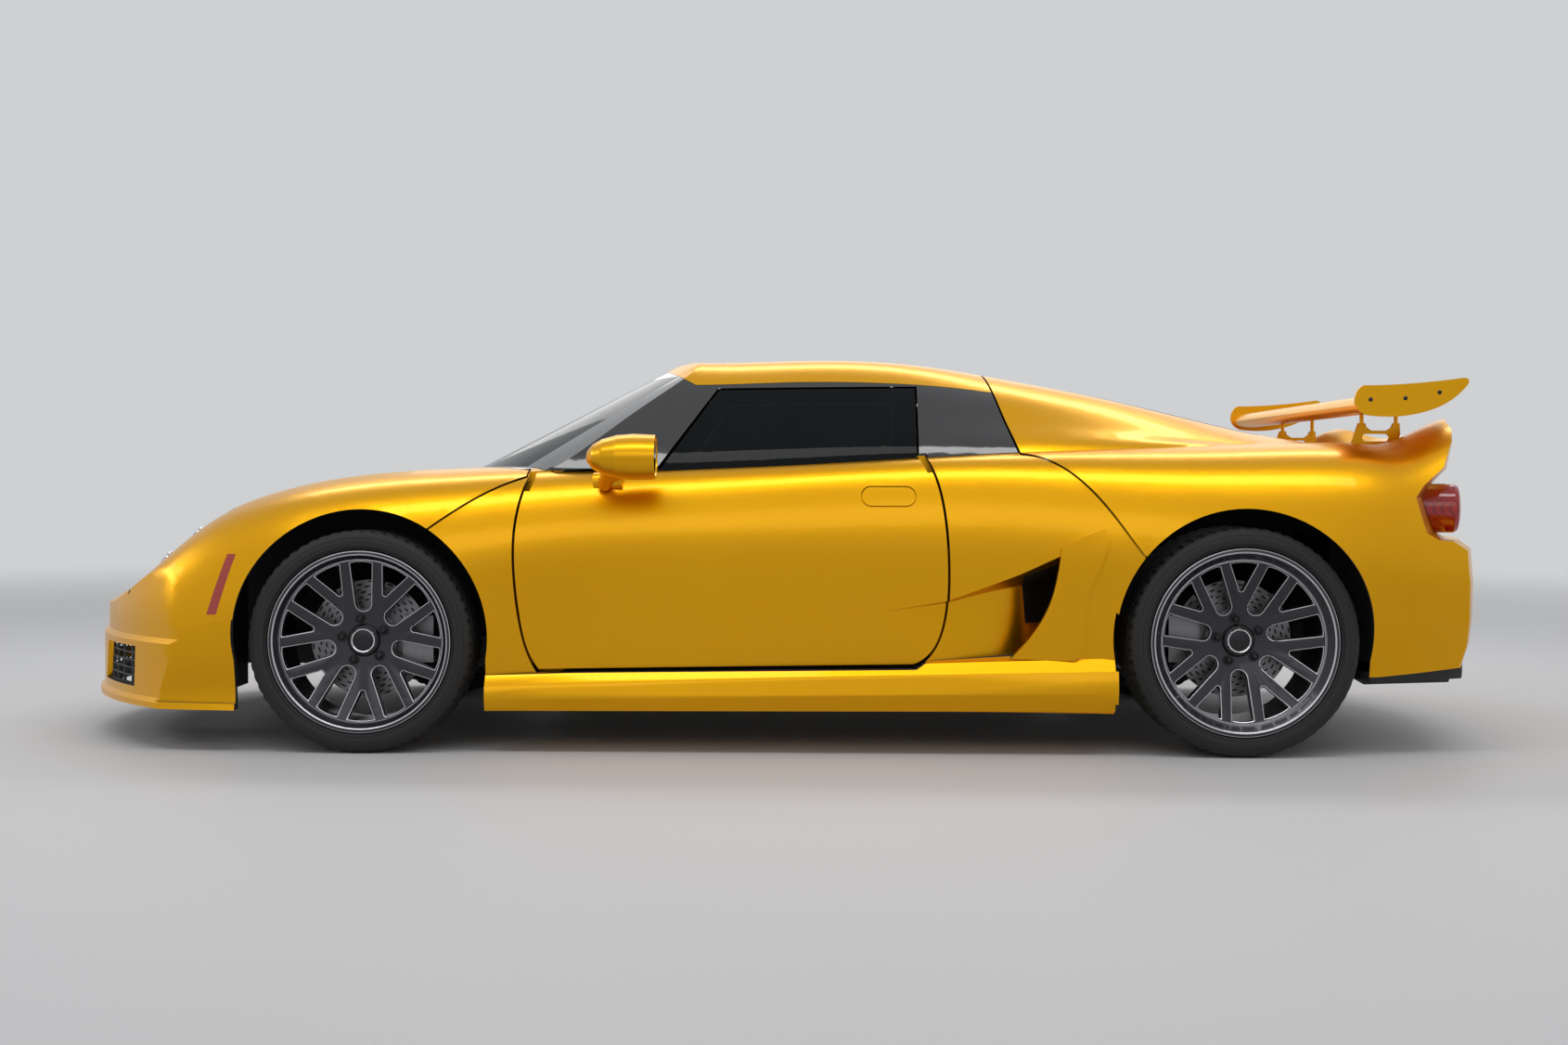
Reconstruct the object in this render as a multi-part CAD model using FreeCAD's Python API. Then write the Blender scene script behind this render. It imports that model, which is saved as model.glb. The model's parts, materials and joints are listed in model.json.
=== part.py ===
import FreeCAD, Part
import math
import os

# Coupe car: two seats, engine behind them, glass-fibre clamshells at both ends.
# Millimetres. The nose points to -X, the left side to -Y, the floor is Z = 0.

os.makedirs("parts", exist_ok=True)
V = FreeCAD.Vector

# Driving dimensions: overall and running gear
nose_x = -2108.0
wheelbase = 2438.0
front_overhang = 958.0
rear_overhang = 820.0
front_axle_x = nose_x + front_overhang
rear_axle_x = front_axle_x + wheelbase
tail_x = rear_axle_x + rear_overhang
body_foot_z = 118.0
roof_z = 1128.0

front_tyre_d = 616.0
front_tyre_width = 235.0
front_wheel_outer_y = 905.0
front_flange_d = 504.0
rear_tyre_d = 634.0
rear_tyre_width = 285.0
rear_wheel_outer_y = 930.0
rear_flange_d = 520.0

front_arch_r = 350.0
rear_arch_r = 353.0
arch_rise = 16.0
steer_well_r = 398.0
well_inner_y = 500.0

# Driving dimensions: walls and gaps
clam_wall = 14.0
cabin_wall = 30.0
glass_wall = 6.0
panel_gap = 6.0
seat_gap = 0.3
skin_gap = 0.7
door_inner_y = 752.0
door_step_y = 826.0
door_step = 14.0
door_swing_room = 18.0
door_gap = 7.2
door_undercut = 6.0
door_lip = 8.0
door_hinge_x = -666.0
door_hinge_y = 866.0
door_hinge_z0 = 512.0
door_hinge_z1 = 556.0
door_pin_r = 6.0
door_bore_r = 6.06
door_pin_reach = 22.0
door_knuckle_r = 9.0
door_knuckle_room = 2.0
door_open_angle = 62.0
flange_depth = 8.0
flange_root = 24.0
flange_reach = 26.0


def box(x0, x1, y0, y1, z0, z1):
    return Part.makeBox(x1 - x0, y1 - y0, z1 - z0, V(x0, y0, z0))


def cylinder_y(x, z, r, y0, y1):
    return Part.makeCylinder(r, y1 - y0, V(x, y0, z), V(0, 1, 0))


def mirrored(shape):
    return shape.mirror(V(0, 0, 0), V(0, 1, 0))


def both_sides(shape):
    return Part.makeCompound([shape, mirrored(shape)])


def save(name, shape):
    solids = shape.Solids
    body = solids[0] if len(solids) == 1 else Part.makeCompound(solids)
    body.exportStep("parts/" + name + ".step")
    print(name, len(solids), round(body.Volume / 1e6, 2), body.isValid())


def polyline_face_xz(points, y):
    corners = [V(x, y, z) for x, z in points]
    return Part.Face(Part.makePolygon(corners + corners[:1]))


def side_prism(points, y0, y1):
    return polyline_face_xz(points, y0).extrude(V(0, y1 - y0, 0))


def spline_through(points):
    curve = Part.BSplineCurve()
    curve.interpolate(points)
    return curve.toShape()


def section_spline(half, spans):
    """A curve over the car from foot to foot; like spans in every section keep the skin smooth."""
    knots = [0.0]
    for span in list(spans) + list(reversed(spans)):
        knots.append(knots[-1] + span)
    points = [V(x, -y, z) for x, y, z in reversed(half)] + [V(x, y, z) for x, y, z in half[1:]]
    curve = Part.BSplineCurve()
    curve.interpolate(Points=points, Parameters=[k / knots[-1] for k in knots])
    foot = Part.makeLine(points[-1], points[0])
    return Part.Wire([curve.toShape(), foot])


def curved_prism_xz(pieces, y0, y1):
    """A side-view outline of runs, each either two points or a curve through more, pushed along Y."""
    edges = []
    for piece in pieces:
        points = [V(x, y0, z) for x, z in piece]
        edges.append(Part.makeLine(*points) if len(points) == 2 else spline_through(points))
    return Part.Face(Part.Wire(edges)).extrude(V(0, y1 - y0, 0))


# Lower body: a skin through cross-sections from nose to tail.
# Each station: place along the car, crown height on the centreline, fender crest (y, z),
# widest point (y, z) and foot half-width.
cowl_x = -700.0
door_rear_x = 470.0
stations = [
    (nose_x - 60, 330, 460, 300, 700, 220, 690),
    (nose_x + 130, 445, 560, 378, 780, 262, 770),
    (nose_x + 330, 560, 640, 512, 842, 300, 826),
    (nose_x + 540, 640, 672, 664, 892, 350, 868),
    (front_axle_x - 210, 700, 690, 731, 918, 430, 880),
    (front_axle_x, 737, 700, 763, 925, 470, 880),
    (front_axle_x + 250, 762, 704, 778, 905, 500, 868),
    (cowl_x + 60, 774, 722, 786, 880, 540, 850),
    (cowl_x + 720, 782, 752, 806, 868, 560, 846),
    (door_rear_x - 60, 792, 762, 824, 876, 566, 852),
    (door_rear_x + 250, 800, 762, 836, 898, 560, 868),
    (rear_axle_x - 260, 810, 760, 845, 938, 540, 900),
    (rear_axle_x, 820, 755, 852, 952, 530, 912),
    (rear_axle_x + 280, 836, 735, 860, 946, 525, 900),
    (tail_x - 350, 842, 705, 856, 920, 512, 875),
    (tail_x - 203, 858, 668, 917, 872, 502, 830),
    (tail_x - 100, 898, 636, 930, 845, 496, 800),
    (tail_x + 60, 1005, 600, 955, 800, 490, 760),
]
shoulder_steps = (30.0, 60.0)
body_spans = (220.0, 200.0, 150.0, 110.0, 90.0, 370.0, 370.0)


def body_section(station, inset, foot_z):
    x, crown_z, crest_y, crest_z, side_y, side_z, foot_y = station
    crown_z -= inset
    crest_z -= inset
    crest_y -= 0.4 * inset
    side_y -= inset
    foot_y -= inset
    half = [(0.0, crown_z), (0.5 * crest_y, crown_z + 0.3 * (crest_z - crown_z)), (crest_y, crest_z)]
    for angle in shoulder_steps:
        t = math.radians(angle)
        half.append((crest_y + (side_y - crest_y) * math.sin(t),
                     side_z + (crest_z - side_z) * math.cos(t)))
    half.append((side_y, side_z))
    half.append((0.35 * side_y + 0.65 * foot_y, 0.45 * side_z + 0.55 * foot_z))
    half.append((foot_y, foot_z))
    return section_spline([(x, y, z) for y, z in half], body_spans)


def body_loft(inset, foot_z):
    return Part.makeLoft([body_section(s, inset, foot_z) for s in stations], True, False)


# Nose and tail faces: side profiles turned about upright axes, so that both ends curve in plan.
nose_plan_r = 1150.0
lip_proud = 12.0
lip_z = 134.0
bumper_proud = 12.0
shelf_z = 306.0
shelf_rise = 0.185
tail_plan_r = 2100.0


def nose_form(inset):
    axis_x = nose_x + nose_plan_r
    r = nose_plan_r - inset
    low_r = r - lip_proud
    face_r = low_r - bumper_proud
    profile = [(0, 60), (r, 60), (r, lip_z), (low_r, lip_z + 12), (low_r, shelf_z - 8), (face_r, shelf_z + 6),
               (face_r - 3, 400), (face_r - 20, 470), (face_r - 45, 560), (face_r - 45, 1300), (0, 1300)]
    points = [V(p, 0, z) for p, z in profile]
    face = Part.Face(Part.makePolygon(points + points[:1]))
    turned = face.revolve(V(0, 0, 0), V(0, 0, 1), 360)
    turned.translate(V(axis_x, 0, 0))
    return turned.fuse(box(nose_x + 508, 3000, -1200, 1200, 60, 1300))


def tail_form(inset):
    """Tail in side view, from the ground up: bumper, lamp recess, and the lip above it."""
    r = tail_plan_r - inset
    profile = [(0, 60), (r - 30, 60), (r - 26, 250), (r - 9, 307), (r - 2, 376), (r, 479), (r - 8, 572),
               (r - 43, 598), (r - 75, 600), (r - 105, 620), (r - 136, 718), (r - 120, 752), (r - 76, 801),
               (r - 60, 879), (r - 64, 912), (r - 80, 936), (r - 80, 1300), (0, 1300)]
    points = [V(p, 0, z) for p, z in profile]
    face = Part.Face(Part.makePolygon(points + points[:1]))
    turned = face.revolve(V(0, 0, 0), V(0, 0, 1), 360)
    turned.translate(V(tail_x - tail_plan_r, 0, 0))
    return turned.fuse(box(-3000, tail_x - 660, -1200, 1200, 60, 1300))


bumper_line = [(nose_x - 80, 60), (front_axle_x, 60), (front_axle_x, shelf_z + shelf_rise * 685),
               (front_axle_x - 685, shelf_z), (nose_x - 80, shelf_z)]
lip_line = [(nose_x - 80, 60), (front_axle_x, 60), (front_axle_x, lip_z), (nose_x - 80, lip_z + 6)]
bumper = body_loft(-bumper_proud, body_foot_z).common(side_prism(bumper_line, -1400, 1400))
bumper = bumper.fuse(body_loft(-bumper_proud - lip_proud, body_foot_z).common(side_prism(lip_line, -1400, 1400)))
lower_outer = body_loft(0.0, body_foot_z).fuse(bumper).common(nose_form(0.0)).common(tail_form(0.0))
lower_inner = body_loft(clam_wall, body_foot_z - 40).common(nose_form(clam_wall))
lower_inner = lower_inner.common(tail_form(clam_wall))
print("lower", lower_outer.isValid(), lower_inner.isValid(), lower_outer.BoundBox)

# Greenhouse: a tunnel through cross-sections, cut in front by the raked curved screen.
# Each station: x, belt (y, z), glass top (y, z), roof shoulder (y, z), crown z.
house_stations = [
    (-1000, 752, 770, 560, 1000, 505, 1046, 1088),
    (-600, 758, 782, 572, 1014, 520, 1060, 1102),
    (-250, 766, 796, 584, 1032, 535, 1074, 1118),
    (100, 770, 810, 590, 1042, 540, 1082, roof_z),
    (400, 762, 826, 586, 1034, 532, 1072, 1118),
    (650, 742, 836, 566, 1012, 505, 1042, 1082),
    (950, 720, 842, 545, 960, 480, 990, 1022),
    (1250, 700, 842, 560, 900, 480, 926, 950),
    (1500, 660, 826, 560, 862, 480, 880, 894),
    (1760, 600, 740, 520, 762, 440, 776, 786),
]
house_foot_z = 700.0
house_spans = (110.0, 130.0, 130.0, 60.0, 240.0, 290.0)


def house_section(station, inset):
    x, belt_y, belt_z, top_y, top_z, shoulder_y, shoulder_z, crown_z = station
    half = [(0.0, crown_z - inset), (0.55 * shoulder_y, crown_z - 0.22 * (crown_z - shoulder_z) - inset),
            (shoulder_y - 0.5 * inset, shoulder_z - 0.85 * inset),
            (top_y - 0.8 * inset, top_z - 0.5 * inset),
            (0.5 * (belt_y + top_y) + 8 - inset, 0.5 * (belt_z + top_z)),
            (belt_y - inset, belt_z), (belt_y + 6 - inset, house_foot_z)]
    return section_spline([(x, y, z) for y, z in half], house_spans)


def house_loft(inset):
    return Part.makeLoft([house_section(s, inset) for s in house_stations], True, False)


screen_base_x = -958.0
screen_base_z = 786.0
screen_top_x = -364.0
screen_top_z = 1092.0
screen_plan_r = 1040.0


def behind_screen(inset):
    """Everything behind the windscreen's outer face, moved back by inset."""
    r = screen_plan_r - inset
    run = screen_top_x - screen_base_x
    rise = screen_top_z - screen_base_z
    low = -1.0
    high = 2.0
    centre = V(screen_base_x + screen_plan_r + low * run, 0, screen_base_z + low * rise)
    ring = Part.Face(Part.Wire(Part.makeCircle(r, centre, V(0, 0, 1))))
    sweep = V((high - low) * run, 0, (high - low) * rise)
    drum = ring.extrude(sweep)
    corners = [V(centre.x, -r, centre.z), V(centre.x + 6000, -r, centre.z),
               V(centre.x + 6000, r, centre.z), V(centre.x, r, centre.z)]
    back = Part.Face(Part.makePolygon(corners + corners[:1])).extrude(sweep)
    return drum.fuse(back)


house_outer = house_loft(0.0)
house_inner = house_loft(cabin_wall)
house_skin = house_loft(clam_wall)
house_glass = house_loft(glass_wall)
screen_out = behind_screen(0.0)
screen_in = behind_screen(cabin_wall)
screen_glass = behind_screen(glass_wall)

# Wheel openings
front_axle_z = 0.5 * front_tyre_d
rear_axle_z = 0.5 * rear_tyre_d
reach = 1400.0
arch_foot_trim = 6.0


def arch_cut(x, z, r, y0, y1):
    low = box(x - r + arch_foot_trim, x + r - arch_foot_trim, y0, y1, 0, z + arch_rise)
    return cylinder_y(x, z + arch_rise, r, y0, y1).fuse(low)


def front_arch(r, y0, y1):
    return arch_cut(front_axle_x, front_axle_z, r, y0, y1)


def rear_arch(r, y0, y1):
    return arch_cut(rear_axle_x, rear_axle_z, r, y0, y1)


arches = both_sides(front_arch(front_arch_r, well_inner_y, reach).fuse(
    rear_arch(rear_arch_r, well_inner_y, reach)))

# Side-view outlines where the panels part
clam_edge = [(front_axle_x + 172, 612), (front_axle_x + 229, 654), (cowl_x - 124, 716), (cowl_x - 6, 768)]
door_front_edge = [(cowl_x + 8, 762), (cowl_x - 19, 649), (cowl_x - 22, 495), (cowl_x - 8, 366),
                   (cowl_x + 15, 275), (cowl_x + 40, 232)]
door_rear_edge = [(door_rear_x - 88, 250), (door_rear_x - 37, 288), (door_rear_x - 6, 367),
                  (door_rear_x + 4, 496), (door_rear_x - 6, 650), (door_rear_x - 30, 765),
                  (door_rear_x - 59, 828)]
roof_rear_x = 612.0
sail_front = [(roof_rear_x, 1081), (roof_rear_x + 17, 1018), (roof_rear_x + 78, 838)]
sail_edge = [(roof_rear_x + 78, 838), (roof_rear_x + 138, 824), (roof_rear_x + 224, 770),
             (roof_rear_x + 306, 680), (rear_axle_x - 283, 560)]
high = 1400.0
bumper_foot_z = 222.0
bumper_rise = 0.0885


def moved_out(points, gap):
    """A run of outline points, each moved by the gap to the right of the way it runs."""
    moved = []
    for i, (x, z) in enumerate(points):
        x0, z0 = points[max(i - 1, 0)]
        x1, z1 = points[min(i + 1, len(points) - 1)]
        length = math.hypot(x1 - x0, z1 - z0)
        moved.append((x + gap * (z1 - z0) / length, z - gap * (x1 - x0) / length))
    return moved


def front_clam_zone(gap):
    edge = moved_out(clam_edge, gap)
    edge[-1] = (clam_edge[-1][0] + gap, edge[-1][1])
    start = edge[0]
    end = edge[-1]
    centre = (front_axle_x, front_axle_z)
    return curved_prism_xz([
        [(nose_x - 200, 40), (front_axle_x, 40)], [(front_axle_x, 40), centre],
        [centre, start], edge, [end, (end[0], high)],
        [(end[0], high), (nose_x - 200, high)], [(nose_x - 200, high), (nose_x - 200, 40)]], -reach, reach)


def rear_clam_zone(gap):
    front = moved_out(sail_front, gap)
    start = front[0]
    edge = moved_out(sail_edge, gap)
    front[-1] = (front[-1][0], edge[0][1])
    edge[0] = front[-1]
    end = edge[-1]
    centre = (rear_axle_x, rear_axle_z)
    low = (rear_axle_x, bumper_foot_z - gap)
    corner = (rear_axle_x + 370, bumper_foot_z - gap)
    back = (corner[0] + 640, corner[1] + 640 * bumper_rise)
    return curved_prism_xz([
        [(start[0], high), start], front, edge, [end, centre], [centre, low], [low, corner], [corner, back],
        [back, (back[0], high)], [(back[0], high), (start[0], high)]], -reach, reach)


def door_zone(gap, y0, y1):
    front = moved_out(door_front_edge, gap)
    rear = moved_out(door_rear_edge, gap)
    front[-1] = (front[-1][0], front[-1][1] - gap)
    rear[0] = (rear[0][0], rear[0][1] - gap)
    front_top = front[0]
    rear_top = rear[-1]
    return curved_prism_xz([
        front, [front[-1], rear[0]], rear, [rear_top, (rear_top[0], high)],
        [(rear_top[0], high), (front_top[0], high)], [(front_top[0], high), front_top]], y0, y1)


front_zone = front_clam_zone(0.0)
rear_zone = rear_clam_zone(0.0)


# Cowl: the black strip between the front clamshell and the foot of the windscreen
cowl_front_x = -1060.0
cowl_plan_r = 905.0


def behind_cowl(offset):
    centre_x = cowl_front_x + cowl_plan_r
    r = cowl_plan_r - offset
    drum = Part.makeCylinder(r, high, V(centre_x, 0, 0), V(0, 0, 1))
    return drum.fuse(box(centre_x, centre_x + 5000, -r, r, 0, high))


lower_shell = lower_outer.cut(lower_inner)

# Front clamshell with its wheel arches and lamp openings
front_clam = lower_shell.common(front_zone).cut(behind_cowl(0.0)).cut(arches)
lamp_plan = [(nose_x + 205, 500), (nose_x + 300, 470), (nose_x + 520, 600), (nose_x + 560, 665),
             (nose_x + 330, 700), (nose_x + 240, 650)]


def plan_prism(points, z0, z1):
    corners = [V(x, y, z0) for x, y in points]
    return Part.Face(Part.makePolygon(corners + corners[:1])).extrude(V(0, 0, z1 - z0))


lamp_zone = both_sides(plan_prism(lamp_plan, 330, high))
front_clam = front_clam.cut(lamp_zone)
lens_layer = body_loft(4.0, 0)
headlamps = lower_outer.cut(lens_layer).common(lamp_zone)
save("headlamps", headlamps)

# Lamp units: a tray below each cover with two projectors standing on it
tray_depth = 78.0
projector_r = 34.0
tray = body_loft(tray_depth, 0).cut(body_loft(tray_depth + 6.0, 0)).common(plan_prism(lamp_plan, 330, high))
for x, y, z in ((nose_x + 372, 600, 492), (nose_x + 475, 640, 566)):
    tray = tray.fuse(Part.makeCylinder(projector_r, 56, V(x + 20, y, z), V(-1, 0, 0.35)))
save("lamp_units", both_sides(tray.cut(lower_shell)))


def front_outline(points, x0, x1):
    corners = [V(x0, y, z) for y, z in points]
    return Part.Face(Part.makePolygon(corners + corners[:1])).extrude(V(x1 - x0, 0, 0))


# Nose openings with their grilles: one in the middle, one at each corner
mouth_line = [(-340, 176), (340, 176), (318, 272), (-318, 272)]
corner_line = [(480, 168), (742, 168), (748, 282), (520, 282)]
grille_lap = 8.0
grille_x0 = nose_x - 60
grille_x1 = nose_x + 420


def nose_openings(lap):
    """The three openings, or with a lap the outlines of the meshes behind them."""
    outlines = [[(y + math.copysign(lap, y), z + (lap if z > 200 else -lap)) for y, z in mouth_line]]
    for side in (1, -1):
        outlines.append([(side * (y + (lap if y > 600 else -lap)), z + (lap if z > 200 else -lap))
                         for y, z in corner_line])
    cuts = [front_outline(outline, grille_x0, grille_x1) for outline in outlines]
    return cuts[0].fuse(cuts[1:])


front_clam = front_clam.cut(nose_openings(0.0))
grille_r = nose_plan_r - lip_proud - clam_wall - seat_gap
grille_centre = V(nose_x + nose_plan_r, 0, 150)
ring = Part.makeCylinder(grille_r, 150, grille_centre).cut(Part.makeCylinder(grille_r - 6, 150, grille_centre))
grilles = ring.common(nose_openings(grille_lap))
slots = []
slot_pitch_z = 22.0
slot_pitch_y = 60.0
for row in range(5):
    for column in range(-12, 13):
        y = column * slot_pitch_y
        z = 174 + row * slot_pitch_z
        slots.append(box(grille_x0, grille_x1, y - 0.5 * slot_pitch_y + 3, y + 0.5 * slot_pitch_y - 3, z, z + slot_pitch_z - 5))
save("front_grilles", grilles.cut(Part.makeCompound(slots)))

# Side markers, let into the skin behind each front corner
marker_top = 548.0
marker_foot = 382.0
marker_depth = 4.0


def marker_zone(gap):
    line = [(nose_x + 586 - gap, marker_top + gap), (nose_x + 611 + gap, marker_top + gap),
            (nose_x + 563 + gap, marker_foot - gap), (nose_x + 536 - gap, marker_foot - gap)]
    return both_sides(side_prism(line, 700, reach))


markers = lower_outer.cut(body_loft(marker_depth, 0)).common(marker_zone(0.0))
front_clam = front_clam.cut(lower_outer.cut(body_loft(marker_depth + seat_gap, 0)).common(marker_zone(seat_gap)))
save("side_markers", markers)

# Rear clamshell: fenders, sail panels behind the roof, tail and bumper in one
sail_outer = house_outer.common(box(roof_rear_x - 40, 2300, -reach, reach, house_foot_z + 20, high))
sail_inner = house_skin.common(box(roof_rear_x - 60, 2300, -reach, reach, house_foot_z - 20, high))
fenders = lower_outer.common(rear_zone).cut(lower_inner).cut(sail_inner)
sail = sail_outer.cut(sail_inner).common(rear_zone).cut(lower_outer)
rear_clam = fenders.fuse(sail).cut(arches)
deck_clear = body_loft(-skin_gap, body_foot_z).common(tail_form(-skin_gap))
tip_r = 44.0
tip_z = 330.0
tip_places = (110.0, 200.0)
tip_holes = []
for y in tip_places:
    tip_holes.append(Part.makeCylinder(tip_r + seat_gap, 400, V(tail_x - 250, y, tip_z), V(1, 0, 0)))
rear_clam = rear_clam.cut(both_sides(Part.makeCompound(tip_holes)))
lid_front_x = roof_rear_x + 90
lid_rear_x = rear_axle_x + 150
lid_front_half = 380.0
lid_rear_half = 430.0
lid_wall = 8.0


def lid_zone(gap):
    ends = [(lid_front_x - gap, lid_front_half + gap), (lid_rear_x + gap, lid_rear_half + gap)]
    return plan_prism([(x, -y) for x, y in ends] + [(x, y) for x, y in reversed(ends)], 700, high)


rear_clam = rear_clam.cut(lid_zone(seat_gap))
louvre_pitch = 64.0
louvres = []
for i in range(9):
    x = lid_front_x + 110 + i * louvre_pitch
    louvres.append(box(x, x + 30, -lid_front_half + 60, lid_front_half - 60, 700, high))
engine_cover = house_outer.cut(house_loft(lid_wall)).common(lid_zone(0.0)).cut(Part.makeCompound(louvres))
save("engine_cover", engine_cover)

# Fixed flanks: hinge pillar, sill and the quarter with the side scoop
flank_inner_y = 690.0
sill_top_z = 330.0
aperture = box(cowl_x + 60, door_rear_x - 90, 600, 760, sill_top_z, high)
# Side scoop: a crease that runs back from the door's foot, the hollow under it, and the duct's ear
crease_line = [(cowl_x + 118, 246), (cowl_x + 604, 344), (door_rear_x, 450), (door_rear_x + 200, 530),
               (door_rear_x + 330, 590)]
crease_low = [(cowl_x + 128, 244), (cowl_x + 604, 326), (door_rear_x, 406), (door_rear_x + 200, 462),
              (door_rear_x + 330, 505)]
hollow_foot = [(door_rear_x + 330, 286), (door_rear_x + 180, 274), (door_rear_x - 90, 256), (cowl_x + 604, 247)]
hollow_plan = [(cowl_x + 110, 896), (cowl_x + 604, 878), (door_rear_x - 60, 852), (door_rear_x + 130, 822),
               (door_rear_x + 235, 782), (door_rear_x + 300, 724), (door_rear_x + 372, 716)]
ear_front = [(door_rear_x + 178, 268), (door_rear_x + 232, 330), (door_rear_x + 279, 413), (door_rear_x + 300, 490),
             (door_rear_x + 312, 575)]
ear_rear = [(door_rear_x + 430, 628), (door_rear_x + 423, 540), (door_rear_x + 392, 466), (door_rear_x + 380, 378),
            (door_rear_x + 375, 300), (door_rear_x + 352, 264)]
ear_proud = 16.0
ear_wall = 20.0


def hollow_wire(crease, y):
    points = crease + hollow_foot
    corners = [V(x, y, z) for x, z in points]
    return Part.makePolygon(corners + corners[:1])


hollow_sides = Part.makeLoft([hollow_wire(crease_line, 960), hollow_wire(crease_low, 800)], True, True)
duct_sides = hollow_wire(crease_low, 700)
hollow_sides = hollow_sides.fuse(Part.Face(duct_sides).extrude(V(0, 100, 0)))
plan_curve = spline_through([V(x, y, 100) for x, y in hollow_plan])
plan_start = V(hollow_plan[0][0], hollow_plan[0][1], 100)
plan_end = V(hollow_plan[-1][0], hollow_plan[-1][1], 100)
plan_wire = Part.Wire([plan_curve, Part.makePolygon([plan_end, V(plan_end.x, 1100, 100), V(plan_start.x, 1100, 100),
                                                     plan_start])])
hollow = Part.Face(plan_wire).extrude(V(0, 0, 600)).common(hollow_sides)
ear_top = [ear_front[-1], (door_rear_x + 372, 604), ear_rear[0]]
ear_zone = curved_prism_xz([ear_front, ear_top, ear_rear, [ear_rear[-1], ear_front[0]]], 640, reach)
ear_inner = body_loft(ear_wall - ear_proud, body_foot_z)
ear = body_loft(-ear_proud, body_foot_z).cut(ear_inner).common(ear_zone)

# Skirt: the sill's outer skin, which flares out below the doors
skirt_front = [(flank_inner_y, body_foot_z), (882, body_foot_z), (892, 150), (886, 184), (866, 210), (flank_inner_y, 222)]
skirt_rear = [(flank_inner_y, body_foot_z), (912, body_foot_z + 8), (926, 180), (918, 240), (896, 276),
              (flank_inner_y, 290)]


def skirt_wire(points, x):
    corners = [V(x, y, z) for y, z in points]
    return Part.makePolygon(corners + corners[:1])


skirt = Part.makeLoft([skirt_wire(skirt_front, front_axle_x + 200), skirt_wire(skirt_rear, rear_axle_x - 200)], True, True)
flank_block = box(front_axle_x, rear_axle_x, flank_inner_y, reach, 0, high)
flank = lower_outer.common(flank_block).fuse(skirt).cut(hollow).fuse(ear)
flank = flank.cut(front_clam_zone(panel_gap)).cut(rear_clam_zone(panel_gap))
flank = flank.cut(door_zone(door_gap, door_inner_y - door_swing_room, reach))
skin_floor = body_loft(door_lip, body_foot_z)
undercut = door_zone(door_gap + door_undercut, door_inner_y - door_swing_room, reach)
flank = flank.cut(undercut.common(skin_floor).common(box(cowl_x - 200, cowl_x + 100, 0, reach, 0, high)))
flank = flank.cut(aperture).cut(arches)
flank = flank.cut(front_arch(steer_well_r, well_inner_y, 850))
flank = flank.cut(rear_arch(rear_arch_r + 8, well_inner_y, 915))
flange_top = clam_wall + panel_gap
flange_layer = body_loft(flange_top, body_foot_z).cut(body_loft(flange_top + flange_depth, 0)).common(flank_block)
front_flange = front_clam_zone(flange_root).cut(front_clam_zone(-flange_reach))
rear_flange = rear_clam_zone(flange_root).cut(rear_clam_zone(-flange_reach))
for zone, opening in ((front_flange, front_arch(front_arch_r, well_inner_y, reach)),
                      (rear_flange, rear_arch(rear_arch_r, well_inner_y, reach))):
    flange = flange_layer.common(zone).cut(opening)
    flange = flange.cut(door_zone(door_gap, door_inner_y - door_swing_room, reach))
    flank = flank.fuse(flange.common(box(front_axle_x, rear_axle_x, flank_inner_y, reach, 300, high)))
# Door hinge: an arm from the pillar with a fixed pin, which the door turns on; the slot lets the arm pass
swing = math.radians(-90.0 - door_open_angle)
along = V(math.cos(swing), math.sin(swing), 0)
outward = V(along.y, -along.x, 0)
slot_r = door_knuckle_r + door_knuckle_room
slot_z0 = door_hinge_z0 - 2 * door_knuckle_room
slot_z1 = door_hinge_z1 + 2 * door_knuckle_room
pin_foot = V(door_hinge_x, door_hinge_y, slot_z0)
slot_corners = [V(door_hinge_x + slot_r, door_inner_y - door_swing_room, slot_z0), V(door_hinge_x + slot_r, door_hinge_y, slot_z0),
                pin_foot, pin_foot + outward * slot_r, pin_foot + outward * slot_r + along * 75]
slot_corners.append(V(slot_corners[-1].x, door_inner_y - door_swing_room, slot_z0))
hinge_slot = Part.Face(Part.makePolygon(slot_corners + slot_corners[:1])).extrude(V(0, 0, slot_z1 - slot_z0))
hinge_slot = hinge_slot.fuse(Part.makeCylinder(slot_r, slot_z1 - slot_z0, pin_foot))
pin_start = V(door_hinge_x, door_hinge_y, door_hinge_z0 - door_pin_reach)
pin_length = door_hinge_z1 - door_hinge_z0 + 2 * door_pin_reach
hinge_bore = Part.makeCylinder(door_bore_r, pin_length + 4, pin_start - V(0, 0, 2))
hinge_arm = box(door_hinge_x - door_knuckle_r, door_hinge_x + door_knuckle_r, flank_inner_y + 30, door_hinge_y,
                door_hinge_z0, door_hinge_z1)
knuckle_foot = V(door_hinge_x, door_hinge_y, door_hinge_z0)
hinge_arm = hinge_arm.fuse(Part.makeCylinder(door_knuckle_r, door_hinge_z1 - door_hinge_z0, knuckle_foot))
flank = flank.fuse(hinge_arm).fuse(Part.makeCylinder(door_pin_r, pin_length, pin_start))
duct_x = door_rear_x + 322
duct_mesh = hollow.common(ear_inner).common(box(duct_x, duct_x + 5, 716, 880, 250, 620))
slats = [box(duct_x - 1, duct_x + 6, 730, 866, 300 + 26 * i, 317 + 26 * i) for i in range(10)]
save("side_intakes", both_sides(duct_mesh.cut(Part.makeCompound(slats))))
save("flank_right", flank)
save("flank_left", mirrored(flank))

# Doors
door_skin = lower_outer.cut(hollow)
door = door_skin.common(door_zone(0.0, door_step_y, reach))
door = door.fuse(door_skin.common(door_zone(-door_step, door_inner_y, door_step_y)))
handle_x = door_rear_x - 160
handle_z = 715.0
handle_long = 148.0
handle_tall = 52.0
handle_proud = 5.0


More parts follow.
